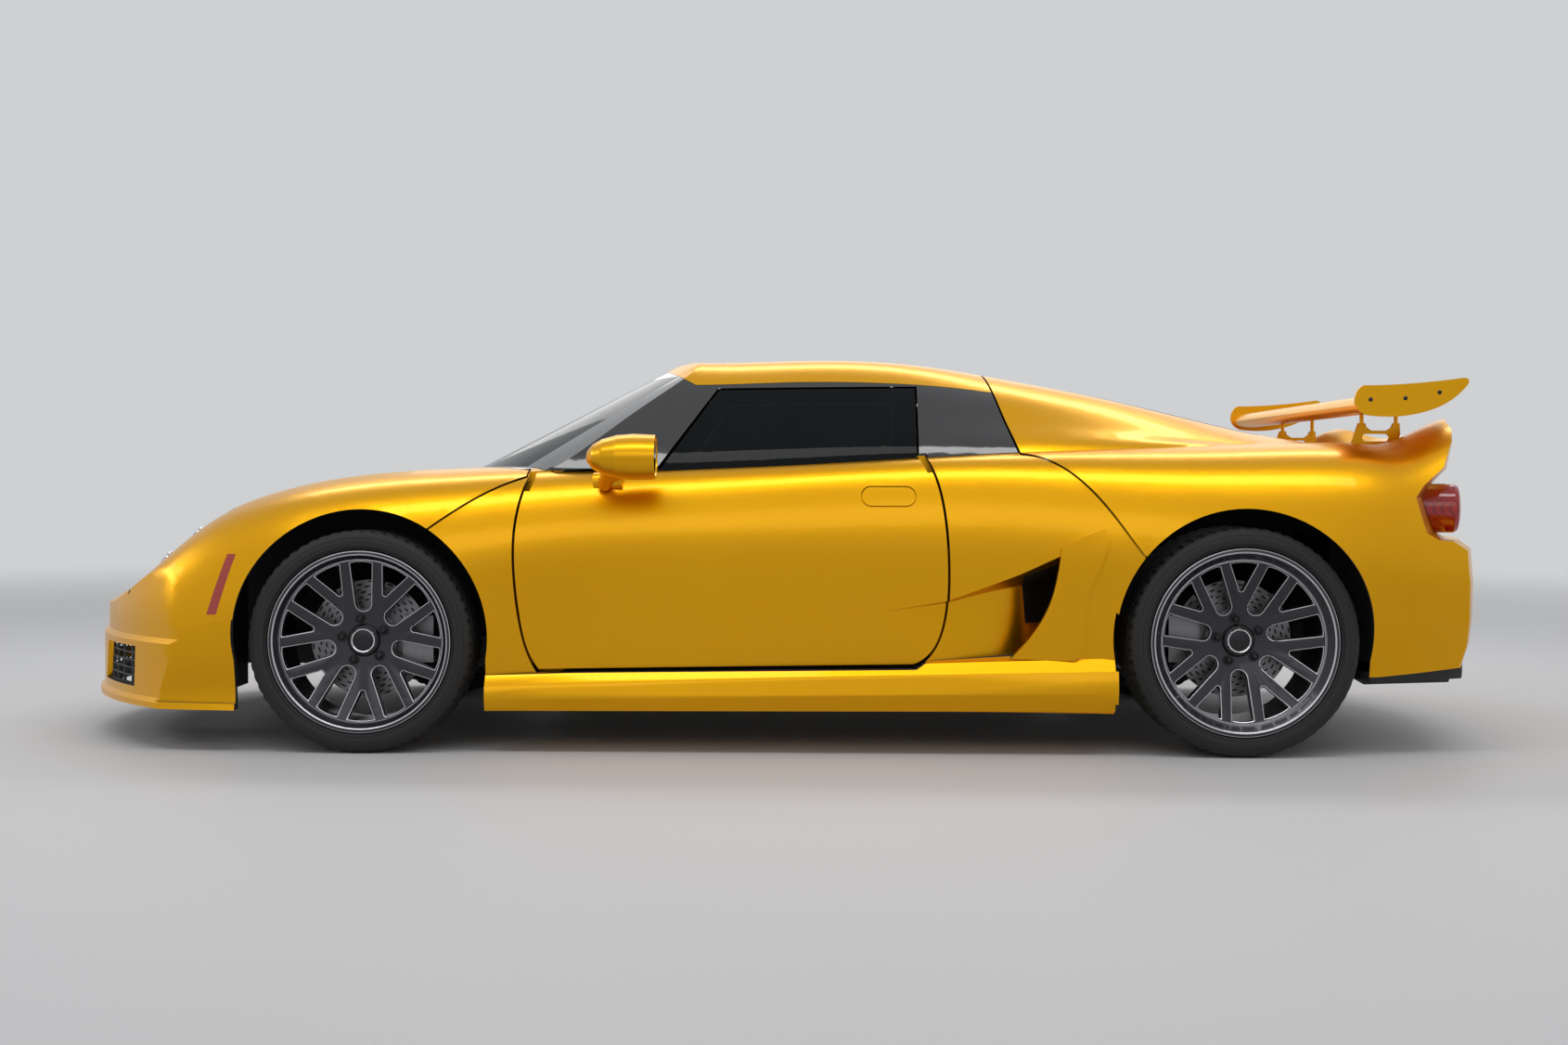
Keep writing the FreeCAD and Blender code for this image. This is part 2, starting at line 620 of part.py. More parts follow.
def handle_zone(gap):
    long = 0.5 * handle_long + gap
    tall = 0.5 * handle_tall + gap
    core = box(handle_x - long + tall, handle_x + long - tall, 800, reach, handle_z - tall, handle_z + tall)
    for x in (handle_x - long + tall, handle_x + long - tall):
        core = core.fuse(cylinder_y(x, handle_z, tall, 800, reach))
    return core


door = door.cut(handle_zone(3.0).cut(skin_floor)).cut(hinge_slot).cut(hinge_bore)
handle = body_loft(-handle_proud, body_foot_z).common(handle_zone(0.0)).cut(body_loft(door_lip - seat_gap, body_foot_z))
save("door_handle_right", handle)
save("door_handle_left", mirrored(handle))
save("door_right", door)
save("door_left", mirrored(door))

# Greenhouse
drip = [(-237, 1035), (-115, 1038), (47, 1044), (291, 1043), (453, 1035), (roof_rear_x + 8, 1018)]
window_line = [(-335, 780), (-169, 1019), (398, 1027), (393, 780)]
window_hole_line = [(-347, 780), (-173, 1025), (404, 1033), (399, 780)]
quarter_line = [(399, 780), (404, 1033), (roof_rear_x + 6, 1016), (roof_rear_x + 72, 838), (roof_rear_x + 72, 780)]
lower_clear = body_loft(-skin_gap, body_foot_z)
house_shell = house_outer.common(screen_out).cut(house_inner.common(screen_in)).cut(lower_clear)
door_top = lower_outer.common(both_sides(door_zone(door_gap, door_inner_y - door_swing_room, reach)))
door_top.translate(V(0, 0, door_gap + 4))
house_shell = house_shell.cut(door_top)
house_shell = house_shell.cut(rear_clam_zone(panel_gap))
roof_zone = curved_prism_xz([
    drip, [drip[-1], (roof_rear_x + 88, 1012)], [(roof_rear_x + 88, 1012), (roof_rear_x + 88, high)],
    [(roof_rear_x + 88, high), (-352, high)], [(-352, high), (-352, 1096)], [(-352, 1096), drip[0]]],
    -reach, reach)
roof = house_shell.common(roof_zone)
save("roof", roof)
roof_seam = roof_zone.copy()
roof_seam.translate(V(0, 0, -1))
rest = house_shell.cut(roof_seam)
window_prism = side_prism(window_line, -reach, reach)
window_hole = side_prism(window_hole_line, -reach, reach)
glass_layer = house_outer.cut(house_glass).cut(lower_clear)
door_glass = glass_layer.common(window_prism).common(box(-3000, 3000, 300, reach, 0, high))
save("door_glass_right", door_glass)
save("door_glass_left", mirrored(door_glass))
quarter_zone = side_prism(quarter_line, -reach, reach)
save("quarter_panels", rest.common(quarter_zone))
screen_outline = [(-640, 796), (640, 796), (500, 1064), (-500, 1064)]
corners = [V(-1300, y, z) for y, z in screen_outline]
screen_zone = Part.Face(Part.makePolygon(corners + corners[:1])).extrude(V(1080, 0, 0))
frame = rest.cut(window_hole).cut(quarter_zone).cut(screen_zone)
cowl_band = box(cowl_front_x - 100, cowl_x + 56, -745, 745, 700, high)
cowl = lower_shell.common(cowl_band).common(behind_cowl(panel_gap))
cowl = cowl.cut(both_sides(door_zone(door_gap, door_inner_y - door_swing_room, reach)))
cowl = cowl.cut(both_sides(flank_block))
frame = frame.fuse(cowl)
save("screen_frame", frame)
windscreen = house_outer.common(screen_out).cut(screen_glass).cut(lower_clear).common(screen_zone).cut(roof_zone)
save("windscreen", windscreen)

# Wheels: each is made on the right side, at +Y, and the left one is its mirror image
tyre_bead_r = 241.0
rim_inset = 5.0
flange_wall = 16.0
hub_bore_r = 22.05
spindle_r = 22.0
disc_r = 165.0
disc_wall = 28.0
spoke_count = 7
pad_wall = 36.0


def turned_y(profile, x, z):
    """A profile of (radius, y) points turned about the wheel's axle line."""
    points = [V(r, y, 0) for r, y in profile]
    face = Part.Face(Part.makePolygon(points + points[:1]))
    solid = face.revolve(V(0, 0, 0), V(0, 1, 0), 360)
    solid.translate(V(x, 0, z))
    return solid


def tyre(x, z, d, width, outer_y, flange_d):
    r = 0.5 * d
    flange_r = 0.5 * flange_d
    half = 0.5 * width
    middle = outer_y - half
    bead_half = half - rim_inset - flange_wall - seat_gap
    side = [(tyre_bead_r + seat_gap, bead_half), (flange_r + 1, bead_half + 1), (flange_r + 0.4 * (r - flange_r), half),
            (r, 0.84 * half)]
    profile = [(rr, middle + out) for rr, out in side] + [(rr, middle - out) for rr, out in reversed(side)]
    return turned_y(profile, x, z)


def wheel_window(x, z, centre_angle, y0, y1, inner_r, inner_half, outer_r, outer_half):
    """One opening between spokes: a round inner end that widens to the rim."""
    corners = []
    for radius, half in ((inner_r, -inner_half), (outer_r, -outer_half), (outer_r, outer_half), (inner_r, inner_half)):
        along = V(math.cos(centre_angle), 0, math.sin(centre_angle))
        across = V(-math.sin(centre_angle), 0, math.cos(centre_angle))
        corners.append(V(x, y0, z) + along * radius + across * half)
    along = V(math.cos(centre_angle), 0, math.sin(centre_angle))
    nose = V(x, y0, z) + along * (inner_r - inner_half)
    crown = V(x, y0, z) + along * (outer_r + 4.0)
    edges = [Part.makeLine(corners[0], corners[1]), Part.Arc(corners[1], crown, corners[2]).toShape(),
             Part.makeLine(corners[2], corners[3]), Part.Arc(corners[3], nose, corners[0]).toShape()]
    return Part.Face(Part.Wire(edges)).extrude(V(0, y1 - y0, 0))


def rim(x, z, flange_d, outer_y, width, hub_depth, turn):
    flange_r = 0.5 * flange_d
    barrel_r = tyre_bead_r
    inner_y = outer_y - width + 8
    face_y = outer_y - hub_depth
    rim_inner = barrel_r - 16
    spoke_outer = outer_y - 26
    barrel = turned_y([(flange_r, outer_y - 4), (flange_r, outer_y - 12), (barrel_r, outer_y - flange_wall),
                       (barrel_r, inner_y + 12), (flange_r, inner_y + 8), (flange_r, inner_y),
                       (barrel_r - 10, inner_y), (rim_inner, inner_y + 30), (rim_inner, outer_y - 30),
                       (flange_r - 12, outer_y - 4)], x, z)
    dish = turned_y([(33, face_y), (70, face_y), (rim_inner + 2, spoke_outer), (rim_inner + 2, spoke_outer - 34),
                     (92, face_y - pad_wall), (33, face_y - pad_wall)], x, z)
    step = 2 * math.pi / spoke_count
    windows = []
    for i in range(spoke_count):
        angle = turn + i * step
        windows.append(wheel_window(x, z, angle, outer_y - 200, outer_y + 20, 104, 22, rim_inner - 9, 30))
        windows.append(wheel_window(x, z, angle + 0.5 * step, outer_y - 200, outer_y + 20, 146, 7, rim_inner - 9, 37))
    spokes = dish.cut(Part.makeCompound(windows))
    return barrel.fuse(spokes)


def brake_disc(x, z, hub_face_y):
    rotor_out = hub_face_y - 40
    return turned_y([(hub_bore_r, hub_face_y), (85, hub_face_y), (85, rotor_out), (disc_r, rotor_out),
                     (disc_r, rotor_out - disc_wall), (76, rotor_out - disc_wall), (76, hub_face_y - 12),
                     (hub_bore_r, hub_face_y - 12)], x, z)


front_hub_depth = 70.0
rear_hub_depth = 92.0
front_hub_y = front_wheel_outer_y - rim_inset - front_hub_depth - pad_wall
rear_hub_y = rear_wheel_outer_y - rim_inset - rear_hub_depth - pad_wall
corners_of_car = [
    ("front", front_axle_x, front_axle_z, front_tyre_d, front_tyre_width, front_wheel_outer_y, front_flange_d,
     front_hub_depth, front_hub_y, 0.5 * math.pi),
    ("rear", rear_axle_x, rear_axle_z, rear_tyre_d, rear_tyre_width, rear_wheel_outer_y, rear_flange_d,
     rear_hub_depth, rear_hub_y, -0.5 * math.pi),
]
for place, x, z, d, width, outer_y, flange_d, hub_depth, hub_y, turn in corners_of_car:
    rubber = tyre(x, z, d, width, outer_y, flange_d)
    metal = rim(x, z, flange_d, outer_y - rim_inset, width, hub_depth, turn)
    disc = brake_disc(x, z, hub_y)
    for side, form in (("right", lambda s: s), ("left", mirrored)):
        save("tyre_" + place + "_" + side, form(rubber))
        save("rim_" + place + "_" + side, form(metal))
        save("brake_disc_" + place + "_" + side, form(disc))

# Front corner: knuckle on a leaning kingpin, with its caliper
kingpin_y = 660.0
kingpin_lean = 12.0
joint_rise = 112.0
joint_pin_r = 9.0
joint_bore_r = 9.06
lean = math.radians(kingpin_lean)
kingpin_axis = V(0, -math.sin(lean), math.cos(lean))


def on_kingpin(rise):
    return V(front_axle_x, kingpin_y - rise * math.tan(lean), front_axle_z + rise)


def along_kingpin(rise, r, length):
    start = on_kingpin(rise) - kingpin_axis * (0.5 * length)
    return Part.makeCylinder(r, length, start, kingpin_axis)


def caliper(x, z, rotor_mid_y, side_x):
    near = x + side_x * 98
    far = x + side_x * 184
    block = box(min(near, far), max(near, far), rotor_mid_y - 38, rotor_mid_y + 38, z - 66, z + 66)
    slot = Part.makeCylinder(disc_r + 5, disc_wall + 10, V(x, rotor_mid_y - 0.5 * disc_wall - 5, z), V(0, 1, 0))
    return block.cut(slot)


front_rotor_y = front_hub_y - 40 - 0.5 * disc_wall
lug_length = 30.0
knuckle = box(front_axle_x - 42, front_axle_x + 42, kingpin_y - 16, kingpin_y + 14,
              front_axle_z - joint_rise, front_axle_z + joint_rise)
for rise in (-joint_rise, joint_rise):
    knuckle = knuckle.fuse(along_kingpin(rise, 24.0, lug_length))
knuckle = knuckle.fuse(cylinder_y(front_axle_x, front_axle_z, 46.0, kingpin_y, front_rotor_y - 22))
knuckle = knuckle.fuse(cylinder_y(front_axle_x, front_axle_z, spindle_r, kingpin_y, front_hub_y - 4))
knuckle = knuckle.fuse(box(front_axle_x + 30, front_axle_x + 150, kingpin_y - 10, kingpin_y + 14,
                           front_axle_z - 40, front_axle_z + 40))
knuckle = knuckle.fuse(caliper(front_axle_x, front_axle_z, front_rotor_y, 1))
knuckle = knuckle.fuse(box(front_axle_x + 112, front_axle_x + 150, kingpin_y, front_rotor_y - 20,
                           front_axle_z - 40, front_axle_z + 40))
for rise in (-joint_rise, joint_rise):
    knuckle = knuckle.cut(along_kingpin(rise, joint_bore_r, 3 * lug_length))
save("knuckle_right", knuckle)
save("knuckle_left", mirrored(knuckle))

# Front wishbones: upper and lower, from the rails to the kingpin joints
rail_inner_y = 300.0
rail_outer_y = 372.0
arm_r = 10.0
arm_lift = 10.0
arm_spread = 150.0
boss_length = 24.0
bush_r = 17.0
bush_length = 56.0
tower_z = 430.0


def tube(a, b, r):
    return Part.makeCylinder(r, (b - a).Length, a, b - a)


front_arms = []
for rise, boss_side in ((-joint_rise, -1), (joint_rise, 1)):
    boss_rise = rise + boss_side * (0.5 * lug_length + seat_gap + 0.5 * boss_length)
    boss = along_kingpin(boss_rise, 22.0, boss_length)
    pin = along_kingpin(rise + boss_side * 2.0, joint_pin_r, lug_length + 8)
    arm = boss.fuse(pin)
    tip = on_kingpin(boss_rise + boss_side * arm_lift)
    for x in (-arm_spread, arm_spread):
        root = V(front_axle_x + x, rail_outer_y + bush_r + seat_gap, front_axle_z + 0.85 * rise)
        arm = arm.fuse(tube(root, tip, arm_r))
        arm = arm.fuse(Part.makeCylinder(bush_r, bush_length, root - V(0.5 * bush_length, 0, 0), V(1, 0, 0)))
    front_arms.append(arm)
right_arms = Part.makeCompound(front_arms)
save("front_wishbones", both_sides(right_arms))

# Rear corner: upright, arms, drive shaft and caliper
rear_rotor_y = rear_hub_y - 40 - 0.5 * disc_wall
rear_rail_inner_y = 380.0
rear_rail_outer_y = 450.0
rear_rail_z0 = 214.0
rear_rail_z1 = 288.0
shaft_r = 16.0
gearbox_half = 160.0
upright_y = rear_rotor_y - 60
rear_corner = box(rear_axle_x - 45, rear_axle_x + 45, upright_y - 18, upright_y + 18, rear_axle_z - 120, rear_axle_z + 140)
rear_corner = rear_corner.fuse(cylinder_y(rear_axle_x, rear_axle_z, 50, upright_y, rear_rotor_y - 22))
rear_corner = rear_corner.fuse(cylinder_y(rear_axle_x, rear_axle_z, spindle_r, upright_y, rear_hub_y - 4))
rear_corner = rear_corner.fuse(cylinder_y(rear_axle_x, rear_axle_z, shaft_r, gearbox_half + seat_gap, upright_y))
for rise in (-100.0, 115.0):
    for x in (-170.0, 170.0):
        root = V(rear_axle_x + x, rear_rail_outer_y + bush_r + seat_gap, rear_axle_z + 0.7 * rise)
        tip = V(rear_axle_x + 0.12 * x, upright_y, rear_axle_z + rise)
        rear_corner = rear_corner.fuse(tube(root, tip, arm_r))
        bush = Part.makeCylinder(bush_r, bush_length, root - V(0.5 * bush_length, 0, 0), V(1, 0, 0))
        rear_corner = rear_corner.fuse(bush)
rear_corner = rear_corner.fuse(box(rear_axle_x - 150, rear_axle_x - 30, upright_y - 10, upright_y + 14,
                                   rear_axle_z - 40, rear_axle_z + 40))
rear_corner = rear_corner.fuse(caliper(rear_axle_x, rear_axle_z, rear_rotor_y, -1))
rear_corner = rear_corner.fuse(box(rear_axle_x - 150, rear_axle_x - 112, upright_y, rear_rotor_y - 20,
                                   rear_axle_z - 40, rear_axle_z + 40))
save("rear_suspension", both_sides(rear_corner))

# Chassis tub: floor, sills, bulkheads and the rails that carry both ends
floor_z = 120.0
floor_wall = 26.0
floor_top = floor_z + floor_wall
pillar_x = cowl_x - 46
bulkhead_x = 574.0
bulkhead_wall = 24.0
rail_z0 = 200.0
rail_z1 = 286.0
inner_y = flank_inner_y - seat_gap
tub = box(pillar_x, bulkhead_x + bulkhead_wall, -inner_y, inner_y, floor_z, floor_top)
tub = tub.fuse(box(pillar_x, pillar_x + 24, -inner_y, inner_y, floor_top, 700))
tub = tub.fuse(box(pillar_x, bulkhead_x, -110, 110, floor_top, 330))
rear_wall = box(bulkhead_x, bulkhead_x + bulkhead_wall, -inner_y, inner_y, floor_top, 816)
upper_wall = house_loft(cabin_wall + 1.0).common(box(bulkhead_x, bulkhead_x + bulkhead_wall, -inner_y, inner_y, 816, high))
tub = tub.fuse(rear_wall).fuse(upper_wall)
rear_pane = box(bulkhead_x, bulkhead_x + bulkhead_wall, -410, 410, 850, 1000)
tub = tub.cut(rear_pane)
beam_x = nose_x + 230
tail_beam_x = rear_axle_x + 290
tower_half = 190.0
hinge_pin_r = 10.0
hinge_bore_r = 10.06
ear_plate = 12.0
ear_gap = 0.5
ear_half = 16.0
front_hinge_x = nose_x + 203
front_hinge_z = 235.0
front_ear_y = rail_outer_y
rear_hinge_x = tail_x - 163
rear_hinge_z = 290.0
rear_ear_y = 383.0
carriers = [
    box(beam_x, pillar_x, rail_inner_y, rail_outer_y, rail_z0, rail_z1),
    box(front_axle_x - tower_half, front_axle_x + tower_half, rail_inner_y, rail_outer_y, rail_z1, tower_z),
    box(beam_x, beam_x + 40, 0, 480, rail_z0, rail_z1 + 30),
    box(bulkhead_x + bulkhead_wall, tail_beam_x, rear_rail_inner_y, rear_rail_outer_y, rear_rail_z0, rear_rail_z1),
    box(rear_axle_x - tower_half - 20, rear_axle_x + tower_half + 20, rear_rail_inner_y, rear_rail_outer_y,
        rear_rail_z1, tower_z),
    box(tail_beam_x - 40, tail_beam_x, 0, rear_rail_outer_y, rear_rail_z0, rear_rail_z1 + 50),
    box(rear_axle_x - 420, rear_axle_x - 330, 290 + seat_gap, rear_rail_inner_y, rear_rail_z0, rear_rail_z1),
    box(front_hinge_x - ear_half, beam_x + 20, front_ear_y, front_ear_y + ear_plate,
        front_hinge_z - ear_half, front_hinge_z + ear_half),
    cylinder_y(front_hinge_x, front_hinge_z, hinge_pin_r, front_ear_y, front_ear_y + 2 * ear_plate + ear_gap + 4),
    box(tail_beam_x - 20, rear_hinge_x + ear_half, rear_ear_y, rear_ear_y + ear_plate,
        rear_hinge_z - ear_half, rear_hinge_z + ear_half),
    cylinder_y(rear_hinge_x, rear_hinge_z, hinge_pin_r, rear_ear_y, rear_ear_y + 2 * ear_plate + ear_gap + 4),
]
shaft_hole = cylinder_y(rear_axle_x, rear_axle_z, shaft_r + 10, 300, 500)
for piece in carriers:
    piece = piece.cut(shaft_hole)
    tub = tub.fuse(piece).fuse(mirrored(piece))
save("tub", tub)


def hinge_lug(x, z, y0, wall_x):
    """A lug on a clamshell's inner face, bored to turn on the pin."""
    plate = box(min(x, wall_x), max(x, wall_x), y0, y0 + ear_plate, z - ear_half, z + ear_half)
    plate = plate.fuse(cylinder_y(x, z, ear_half + 5, y0, y0 + ear_plate)).common(lower_outer)
    lug = plate.cut(cylinder_y(x, z, hinge_bore_r, y0 - 1, y0 + ear_plate + 1))
    return both_sides(lug)


front_clam = front_clam.fuse(hinge_lug(front_hinge_x, front_hinge_z, front_ear_y + ear_plate + ear_gap, nose_x - 50))
save("front_clamshell", front_clam)
rear_clam = rear_clam.fuse(hinge_lug(rear_hinge_x, rear_hinge_z, rear_ear_y + ear_plate + ear_gap, tail_x + 50))
save("rear_clamshell", rear_clam)
save("rear_window", box(bulkhead_x + 9, bulkhead_x + 15, -409.7, 409.7, 850.3, 999.7))

# Engine and gearbox: plain blocks behind the bulkhead
engine = box(rear_axle_x - 620, rear_axle_x - 90, -290, 290, 190, 640)
engine = engine.fuse(box(rear_axle_x - 90, rear_axle_x + 240, -gearbox_half, gearbox_half, 190, 430))
save("engine", engine)

# Front crash box on the beam and rails, and the silencer across the back of the gearbox: plain closed blocks
crash_x0 = beam_x + 40 + seat_gap
crash_line = [(crash_x0, rail_z0 + 10), (front_axle_x - 60, rail_z0 + 10), (front_axle_x - 60, 600), (nose_x + 540, 560),
              (nose_x + 330, 480), (crash_x0, 425)]
save("crash_box", side_prism(crash_line, seat_gap - rail_inner_y, rail_inner_y - seat_gap))
silencer_x0 = rear_axle_x + 240 + seat_gap
save("silencer", box(silencer_x0, tail_beam_x + 18, -340, 340, rear_rail_z1 + 50 + seat_gap, 470))

# Cabin: seats, dashboard, console and steering wheel
seat_foot_z = floor_top + seat_gap
seat_profile = [(-300, seat_foot_z), (150, seat_foot_z), (330, 700), (290, 860), (235, 850), (120, 420), (60, 330),
                (-270, 350), (-320, 300)]


def seat(y_mid):
    return side_prism(seat_profile, y_mid - 225, y_mid + 225)


seat_mid_y = 350.0
save("seats", Part.makeCompound([seat(seat_mid_y), seat(-seat_mid_y)]))
dash_profile = [(pillar_x + 24, 480), (pillar_x + 24, 700), (cowl_x + 60, 740), (cowl_x + 250, 700),
                (cowl_x + 285, 640), (cowl_x + 160, 500)]
save("dashboard", side_prism(dash_profile, -660, 660))
console = side_prism([(cowl_x + 130, 330.3), (bulkhead_x - 20, 330.3), (bulkhead_x - 20, 400), (-150, 420),
                      (cowl_x + 200, 490), (cowl_x + 130, 480)], -100, 100)
save("centre_console", console)
wheel_r = 175.0
wheel_pos = V(cowl_x + 400, -seat_mid_y, 640)
wheel_tilt = math.radians(24)
wheel_axis = V(math.cos(wheel_tilt), 0, math.sin(wheel_tilt))
grip_section = [V(wheel_r + 14 * math.cos(a * math.pi / 4), 0, 14 * math.sin(a * math.pi / 4)) for a in range(8)]
grip = Part.Face(Part.makePolygon(grip_section + grip_section[:1])).revolve(V(0, 0, 0), V(0, 0, 1), 360)
grip.Placement = FreeCAD.Placement(wheel_pos, FreeCAD.Rotation(V(0, 0, 1), wheel_axis))
grip = grip.fuse(Part.makeCylinder(34, 30, wheel_pos - wheel_axis * 20, wheel_axis))
column_reach = 159.35
column_top = 15.0
grip = grip.fuse(Part.makeCylinder(22, column_reach - column_top, wheel_pos - wheel_axis * column_reach, wheel_axis))
side_way = V(0, 1, 0)
up_way = wheel_axis.cross(side_way)
for way in (side_way, side_way * -1, up_way * (1 if up_way.z < 0 else -1)):
    grip = grip.fuse(tube(wheel_pos, wheel_pos + way * wheel_r, 11))
save("steering_wheel", grip)

# Rear wing: plane, end plates and two struts that stand on the deck
wing_x = tail_x - 448
plate_top = [(wing_x - 7, 1033), (wing_x + 52, 1034), (wing_x + 105, 1037), (wing_x + 186, 1044), (wing_x + 272, 1055)]
plate_tip = [(wing_x + 272, 1055), (wing_x + 288, 1050), (wing_x + 285, 1035)]
plate_foot = [(wing_x + 285, 1035), (wing_x + 255, 1004), (wing_x + 212, 976), (wing_x + 159, 957), (wing_x + 105, 947),
              (wing_x + 51, 945), (wing_x + 9, 948)]
plate_nose = [(wing_x + 9, 948), (wing_x - 18, 960), (wing_x - 31, 979), (wing_x - 32, 998), (wing_x - 25, 1018),
              (wing_x - 7, 1033)]
plate_y = 752.0
plate_wall = 8.0
plate = curved_prism_xz([plate_top, plate_tip, plate_foot, plate_nose], plate_y, plate_y + plate_wall)
foil_top = [(wing_x - 22, 978), (wing_x - 12, 996), (wing_x + 20, 1005), (wing_x + 80, 1009), (wing_x + 170, 1019),
            (wing_x + 268, 1044)]
foil_foot = [(wing_x + 268, 1040), (wing_x + 200, 1007), (wing_x + 130, 976), (wing_x + 70, 960), (wing_x + 20, 956),
             (wing_x - 12, 964), (wing_x - 22, 978)]
foil_edge = [foil_top[-1], foil_foot[0]]
blade = curved_prism_xz([foil_top, foil_edge, foil_foot], -plate_y, plate_y)
save("rear_wing", blade.fuse(plate).fuse(mirrored(plate)))

# Struts: slotted plates with a foot on the deck, and two studs each up to the blade
strut_y = 450.0
strut_wall = 10.0
strut_line = [(wing_x + 38, 820), (wing_x + 181, 820), (wing_x + 181, 857), (wing_x + 192, 905), (wing_x + 190, 936),
              (wing_x + 170, 936), (wing_x + 166, 924), (wing_x + 152, 914), (wing_x + 106, 914), (wing_x + 92, 924),
              (wing_x + 88, 936), (wing_x + 67, 936), (wing_x + 60, 915), (wing_x + 38, 862)]
slot_z = 893.0
slot_r = 11.0
slot_ends = (wing_x + 90, wing_x + 148)
stud_r = 6.0
strut = side_prism(strut_line, strut_y, strut_y + strut_wall)
strut = strut.cut(box(slot_ends[0], slot_ends[1], strut_y - 1, strut_y + strut_wall + 1, slot_z - slot_r, slot_z + slot_r))
for x in slot_ends:
    strut = strut.cut(cylinder_y(x, slot_z, slot_r, strut_y - 1, strut_y + strut_wall + 1))
strut = strut.fuse(box(wing_x + 38, wing_x + 181, strut_y - 18, strut_y + 28, 800, 868))
for x in (wing_x + 78, wing_x + 180):
    strut = strut.fuse(Part.makeCylinder(stud_r, 90, V(x, strut_y + 0.5 * strut_wall, 918)))
blade_clear = blade.copy()
blade_clear.translate(V(0, 0, -seat_gap))
strut = strut.cut(blade_clear).cut(deck_clear)
strut = [piece for piece in strut.Solids if piece.BoundBox.ZMin < 900][0]
save("wing_struts", both_sides(strut))

# Mirrors on the doors: a shell with a flat glass side, on a short foot
mirror_x = cowl_x + 180
mirror_y = 950.0
mirror_z = 820.0
mirror_half_y = 80.0
mirror_half_z = 63.0
glass_recess = 5.0
shell_line = [(0, 0), (4, 20), (18, 42), (44, 61), (84, 75), (130, mirror_half_y), (190, 77), (190, 69),
              (190 - glass_recess, 67), (190 - glass_recess, 0)]
points = [V(x, r, 0) for x, r in shell_line]
head = Part.Face(Part.makePolygon(points + points[:1])).revolve(V(0, 0, 0), V(1, 0, 0), 360)
flatten = FreeCAD.Matrix()
flatten.scale(1, 1, mirror_half_z / mirror_half_y)
head = head.transformGeometry(flatten)
head.translate(V(mirror_x, mirror_y, mirror_z))
stalk = tube(V(mirror_x + 40, 830, 745), V(mirror_x + 70, 925, 800), 20)
foot = tube(V(mirror_x + 10, 800, 752), V(mirror_x + 90, 812, 758), 26)
mirror = head.fuse(stalk).fuse(foot).cut(lower_clear)
save("mirror_right", mirror)
save("mirror_left", mirrored(mirror))

# Diffuser below the tail, slotted for the hinge arms, with fins; exhaust tips in the bumper
diffuser_x0 = rear_axle_x + 372
diffuser_x1 = tail_x - 130
diffuser_line = [(diffuser_x0 - 40, 190), (diffuser_x1, 212),
                 (diffuser_x1, bumper_foot_z + (diffuser_x1 - rear_axle_x - 370) * bumper_rise - seat_gap),
                 (diffuser_x0, bumper_foot_z - seat_gap), (diffuser_x0 - 40, bumper_foot_z - seat_gap)]
diffuser = side_prism(diffuser_line, -780, 780).common(tail_form(0.0))
fin_line = [(diffuser_x0 + 10, 196), (diffuser_x0 + 60, 168), (diffuser_x1 - 10, 176), (diffuser_x1 - 2, 206)]
for y in (-560, -190, 190, 560):
    diffuser = diffuser.fuse(side_prism(fin_line, y - 4, y + 4))
arm_slot = box(diffuser_x0 - 100, rear_hinge_x + ear_half + panel_gap + 2, rear_ear_y - panel_gap - 1,
               rear_ear_y + ear_plate + panel_gap + 1, 100, 300)
tyre_room = box(diffuser_x0 - 60, diffuser_x0 + 12, rear_wheel_outer_y - rear_tyre_width - 15, 800, 100, 300)
diffuser = diffuser.cut(both_sides(arm_slot.fuse(tyre_room)))
save("diffuser", diffuser)
tips = []
for y in tip_places:
    outer = Part.makeCylinder(tip_r, 150, V(tail_x - 160, y, tip_z), V(1, 0, 0))
    tips.append(outer.cut(Part.makeCylinder(tip_r - 5, 145, V(tail_x - 150, y, tip_z), V(1, 0, 0))))
save("exhaust_tips", both_sides(Part.makeCompound(tips)))

# Tail lamps: two round lamps a side, domed, in the recess under the lip
lamp_z = 687.0
lamps = []
for y, r, x, swing in ((688, 70, tail_x - 300, 0.24), (520, 54, tail_x - 270, 0.16)):
    length = 134.0 if r > 60 else 128.0
    dome = [(0, 0), (r, 0), (r, length - 16), (r - 7, length - 5), (r - 22, length), (0, length + 3)]
    points = [V(a, 0, h) for a, h in dome]
    lamp = Part.Face(Part.makePolygon(points + points[:1])).revolve(V(0, 0, 0), V(0, 0, 1), 360)
    lamp.Placement = FreeCAD.Placement(V(x, y, lamp_z), FreeCAD.Rotation(V(0, 0, 1), V(1, swing, 0)))
    lamps.append(lamp.cut(deck_clear))
save("tail_lamps", both_sides(Part.makeCompound(lamps)))
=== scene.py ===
import json
import math
import bmesh
import bpy
from mathutils import Matrix, Vector

